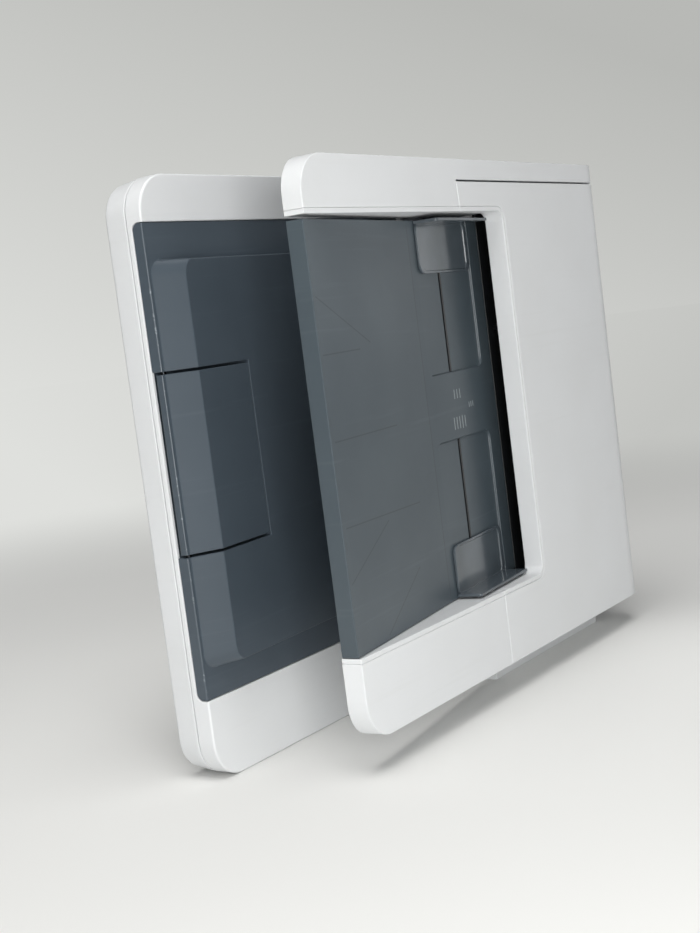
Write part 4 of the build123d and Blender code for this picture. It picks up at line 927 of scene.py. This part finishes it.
def natural_acetal():
    """Acetal is waxy and slightly translucent, with a soft sheen and faint flow marks."""
    material, tree, place = new_material("natural_acetal")
    flow = add(
        tree,
        "ShaderNodeTexNoise",
        {"Vector": place, "Scale": 120.0, "Detail": 3.0, "Distortion": 1.2},
    )
    paint = add(
        tree,
        "ShaderNodeMix",
        {"Factor": flow.outputs["Fac"], 6: linear("#EAE8DF"), 7: linear("#D9D6CB")},
        data_type="RGBA",
    )
    polish = add(
        tree, "ShaderNodeMapRange", {"Value": flow.outputs["Fac"], "To Min": 0.3, "To Max": 0.45}
    )
    shader = add(
        tree,
        "ShaderNodeBsdfPrincipled",
        {
            "Base Color": paint.outputs[2],
            "Roughness": polish.outputs[0],
            "IOR": 1.48,
            "Subsurface Weight": 0.1,
            "Subsurface Scale": 0.001,
        },
    )
    add(tree, "ShaderNodeOutputMaterial", {"Surface": shader.outputs[0]})
    return material


acetal = natural_acetal()
soften("guide_pinion", acetal, 0.00012)


# Side frames and bushes
# Two folded plates of zinc-plated steel stand in the base and carry every shaft in flanged
# bushes of black nylon; the motor hangs on its own small plate.
soften("rear_frame", zinc, 0.00025)
soften("front_frame", zinc, 0.00025)
soften("motor_plate", zinc, 0.0002)
soften("shaft_bushes", black_abs, 0.0002)


# Rollers and gears
# Each steel shaft carries ground rubber sleeves and, at its rear end, an acetal gear; the pinch
# rollers are acetal on thinner shafts. The idler and the motor's pinion are acetal too.
def ground_rubber():
    """EPDM ground to size: matt, with shallow lengthways grooves about 1 mm apart."""
    material, tree, place = new_material("ground_rubber")
    dust = add(tree, "ShaderNodeTexNoise", {"Vector": place, "Scale": 90.0, "Detail": 5.0})
    grit = add(
        tree,
        "ShaderNodeTexNoise",
        {
            "Vector": add(
                tree, "ShaderNodeMapping", {"Vector": place, "Scale": (1000.0, 1000.0, 120.0)}
            ).outputs[0],
            "Scale": 1.0,
            "Detail": 1.0,
        },
    )
    paint = add(
        tree,
        "ShaderNodeMix",
        {"Factor": dust.outputs["Fac"], 6: linear("#303234"), 7: linear("#55585A")},
        data_type="RGBA",
    )
    bump = add(
        tree,
        "ShaderNodeBump",
        {"Strength": 0.5, "Distance": 0.0001, "Height": grit.outputs["Fac"]},
    )
    shader = add(
        tree,
        "ShaderNodeBsdfPrincipled",
        {
            "Base Color": paint.outputs[2],
            "Roughness": 0.75,
            "IOR": 1.52,
            "Normal": bump.outputs[0],
        },
    )
    add(tree, "ShaderNodeOutputMaterial", {"Surface": shader.outputs[0]})
    return material


rubber = ground_rubber()
joint_at = {joint["child"]: joint.get("pos_m") for joint in frame["joints"]}
drive_shaft, pinch_shaft, shaft_edge = 0.003, 0.002, 0.0003
gear_end = 0.0485


def from_axis(centre, axis):
    """The distance of a face's centre from an upright axis."""
    return math.hypot(centre.x - axis[0], centre.y - axis[1])


def roller(node, shaft, sleeve):
    """A roller whose shaft, gear and sleeves show their own materials."""
    axis = joint_at[node]

    def pick(centre):
        if from_axis(centre, axis) < shaft + shaft_edge:
            return 0
        return 1 if centre.z < gear_end else 2

    soften(node, shaft_steel, 0.00015, (acetal, sleeve), pick)


for node in ("feed_roller", "transport_roller", "register_roller", "exit_roller"):
    roller(node, drive_shaft, rubber)
for node in ("pinch_roller", "exit_pinch_roller"):
    roller(node, pinch_shaft, acetal)
soften("idler_gear", acetal, 0.00012)
soften("motor_pinion", acetal, 0.0001)


# Motor
# A small stepper in a drawn steel can, screwed to its plate, with its shaft out to the pinion.
soften("motor", zinc, 0.0006)


# Pick-up arm, separation pad and sensor flag
# Black ABS levers. The pick-up roller has a rubber sleeve on an acetal hub, driven by a rubber
# belt; the pad under the feed roller is rubber on a sprung holder.
soften("pickup_arm", black_abs, 0.0003)
soften("pickup_belt", rubber, 0.0001)
hub_radius = 0.0075


def pick_sleeve(centre):
    """The acetal hub of the pick-up roller, and the rubber round it."""
    return 0 if from_axis(centre, joint_at["pickup_roller"]) < hub_radius else 1


soften("pickup_roller", acetal, 0.0003, (rubber,), pick_sleeve)
soften("pad_holder", black_abs, 0.0003)
soften("separation_pad", rubber, 0.0003)
soften("paper_flag", black_abs, 0.0002)


# Paper path
# Black ABS sheets that lead the paper round the transport roller and out to the tray. They snap
# between the side frames, and the edge that the paper meets first is rounded.
soften("paper_guide", black_abs, 0.0003)
soften("outer_chute", black_abs, 0.0003)
soften("exit_chute", black_abs, 0.0003)


# Jam cover
# The white ABS cover hinges at the feeder end. A separate rim of the same white lines its paper
# opening, and a black liner behind it is the upper wall of the paper path.
soften("cover_shell", white_abs, 0.0005)
soften("cover_lip", white_abs, 0.0004)
soften("cover_liner", black_abs, 0.0003)
soften("cover_pins", shaft_steel, 0.0002)


# Lid hinges
# Zinc-plated brackets under the lid, with ground steel pins and black legs whose feet screw to
# the scanner's frame.
for side in ("left", "right"):
    soften("hinge_bracket_" + side, zinc, 0.0003)
    soften("hinge_pin_" + side, shaft_steel, 0.0003)
    soften("hinge_leg_" + side, black_abs, 0.0005)


# Floor, light and camera
# A plain pale table that runs out of sight into a pale backdrop, which darkens upwards and to the
# feeder's side. A broad soft lamp overhead, a small one low down in front, and even light around,
# with a bright panel on the feeder's side that only reflections show. The camera stands where
# the photograph was taken from.
def backdrop_tone(tree, heading, rise):
    """The backdrop's colour in a direction, given with its rise above the table."""
    across = add(
        tree, "ShaderNodeVectorMath", {0: heading, 1: (0.55, -0.83, 0.0)}, operation="DOT_PRODUCT"
    )
    aside = add(
        tree,
        "ShaderNodeMapRange",
        {"Value": across.outputs["Value"], "From Min": -0.3, "From Max": 0.3, "To Max": 0.75},
    )
    share = add(
        tree,
        "ShaderNodeMath",
        {0: rise, 1: 2.5, 2: aside.outputs[0]},
        operation="MULTIPLY_ADD",
        use_clamp=True,
    )
    return add(
        tree,
        "ShaderNodeMix",
        {"Factor": share.outputs[0], 6: linear("#DFE0DD"), 7: linear("#B8B9B6")},
        data_type="RGBA",
    ).outputs[2]


def table_paper():
    """Matt backdrop paper. Far off, the camera sees it in the backdrop's own tone."""
    material, tree, place = new_material("matt_backdrop_paper")
    away = add(tree, "ShaderNodeVectorMath", {0: place}, operation="LENGTH")
    heading = add(tree, "ShaderNodeVectorMath", {0: place}, operation="NORMALIZE")
    far = add(
        tree,
        "ShaderNodeMapRange",
        {"Value": away.outputs["Value"], "From Min": 0.4, "From Max": 1.5},
        interpolation_type="SMOOTHSTEP",
    )
    seen = add(tree, "ShaderNodeLightPath").outputs["Is Camera Ray"]
    share = add(tree, "ShaderNodeMath", {0: far.outputs[0], 1: seen}, operation="MULTIPLY")
    fold = add(tree, "ShaderNodeTexNoise", {"Vector": place, "Scale": 2.2, "Detail": 2.0})
    tone = add(
        tree,
        "ShaderNodeMix",
        {"Factor": fold.outputs["Fac"], 6: linear("#E8E8E6"), 7: linear("#F0F0EE")},
        data_type="RGBA",
    )
    matt = add(tree, "ShaderNodeBsdfDiffuse", {"Color": tone.outputs[2]})
    glow = add(
        tree, "ShaderNodeEmission", {"Color": backdrop_tone(tree, heading.outputs[0], 0.0)}
    )
    mixed = add(
        tree, "ShaderNodeMixShader", {0: share.outputs[0], 1: matt.outputs[0], 2: glow.outputs[0]}
    )
    add(tree, "ShaderNodeOutputMaterial", {"Surface": mixed.outputs[0]})
    return material


floor_mesh = bpy.data.meshes.new("table")
radius, sides = 14, 64
turns = [math.tau * i / sides for i in range(sides)]
ring = [(radius * math.cos(turn), radius * math.sin(turn), 0.0) for turn in turns]
floor_mesh.from_pydata(ring, [], [list(range(sides))])
floor_mesh.materials.append(table_paper())
table = bpy.data.objects.new("table", floor_mesh)
bpy.context.scene.collection.objects.link(table)

world = bpy.data.worlds.new("studio")
bpy.context.scene.world = world
world.use_nodes = True
tree = world.node_tree
tree.nodes.clear()
heading = add(tree, "ShaderNodeTexCoord").outputs["Generated"]
rise = add(tree, "ShaderNodeSeparateXYZ", {0: heading}).outputs["Z"]
path = add(tree, "ShaderNodeLightPath").outputs
mirrored = add(
    tree,
    "ShaderNodeMath",
    {0: path["Is Glossy Ray"], 1: path["Is Transmission Ray"]},
    operation="MAXIMUM",
)
fill = add(tree, "ShaderNodeBackground", {"Color": linear("#F4F6F8"), "Strength": 0.17})
feeder_side = add(
    tree, "ShaderNodeVectorMath", {0: heading, 1: (0.83, -0.55, 0.0)}, operation="DOT_PRODUCT"
)
panel = add(
    tree,
    "ShaderNodeMapRange",
    {
        "Value": feeder_side.outputs["Value"],
        "From Min": 0.4,
        "From Max": 0.95,
        "To Min": 0.25,
        "To Max": 1.3,
    },
)
low_down = add(
    tree, "ShaderNodeMapRange", {"Value": rise, "From Max": 0.16, "To Min": 1.0, "To Max": 0.15}
)
strength = add(
    tree, "ShaderNodeMath", {0: panel.outputs[0], 1: low_down.outputs[0]}, operation="MULTIPLY"
)
mirror = add(
    tree, "ShaderNodeBackground", {"Color": linear("#F4F6F8"), "Strength": strength.outputs[0]}
)
unseen = add(
    tree, "ShaderNodeMixShader", {0: mirrored.outputs[0], 1: fill.outputs[0], 2: mirror.outputs[0]}
)
wall = add(tree, "ShaderNodeBackground", {"Color": backdrop_tone(tree, heading, rise)})
sky = add(
    tree, "ShaderNodeMixShader", {0: path["Is Camera Ray"], 1: unseen.outputs[0], 2: wall.outputs[0]}
)
add(tree, "ShaderNodeOutputWorld", {"Surface": sky.outputs[0]})

target = Vector((0.0, 0.0, 0.15))
lamps = (
    ("soft_box", 1.6, 35.5, (-0.65, -0.3, 2.1)),
    ("low_soft_box", 0.4, 4.9, (-0.8, -0.64, 0.22)),
)
for name, size, power, spot in lamps:
    box = bpy.data.lights.new(name, "AREA")
    box.size = size
    box.energy = power
    box.color = (1.0, 0.995, 0.98)
    lamp = bpy.data.objects.new(name, box)
    lamp.location = spot
    aim = target - lamp.location
    lamp.rotation_euler = aim.to_track_quat("-Z", "Y").to_euler()
    bpy.context.scene.collection.objects.link(lamp)

lens = bpy.data.cameras.new("camera")
lens.lens = 56.227
lens.clip_start = 0.02
eye = bpy.data.objects.new("camera", lens)
eye.location = (-0.786826, -0.504559, 0.238190)
eye.rotation_euler = Euler((math.radians(84.3906), math.radians(7.2194), math.radians(-56.4759)))
bpy.context.scene.collection.objects.link(eye)
bpy.context.scene.camera = eye
bpy.context.scene.view_settings.view_transform = "Standard"
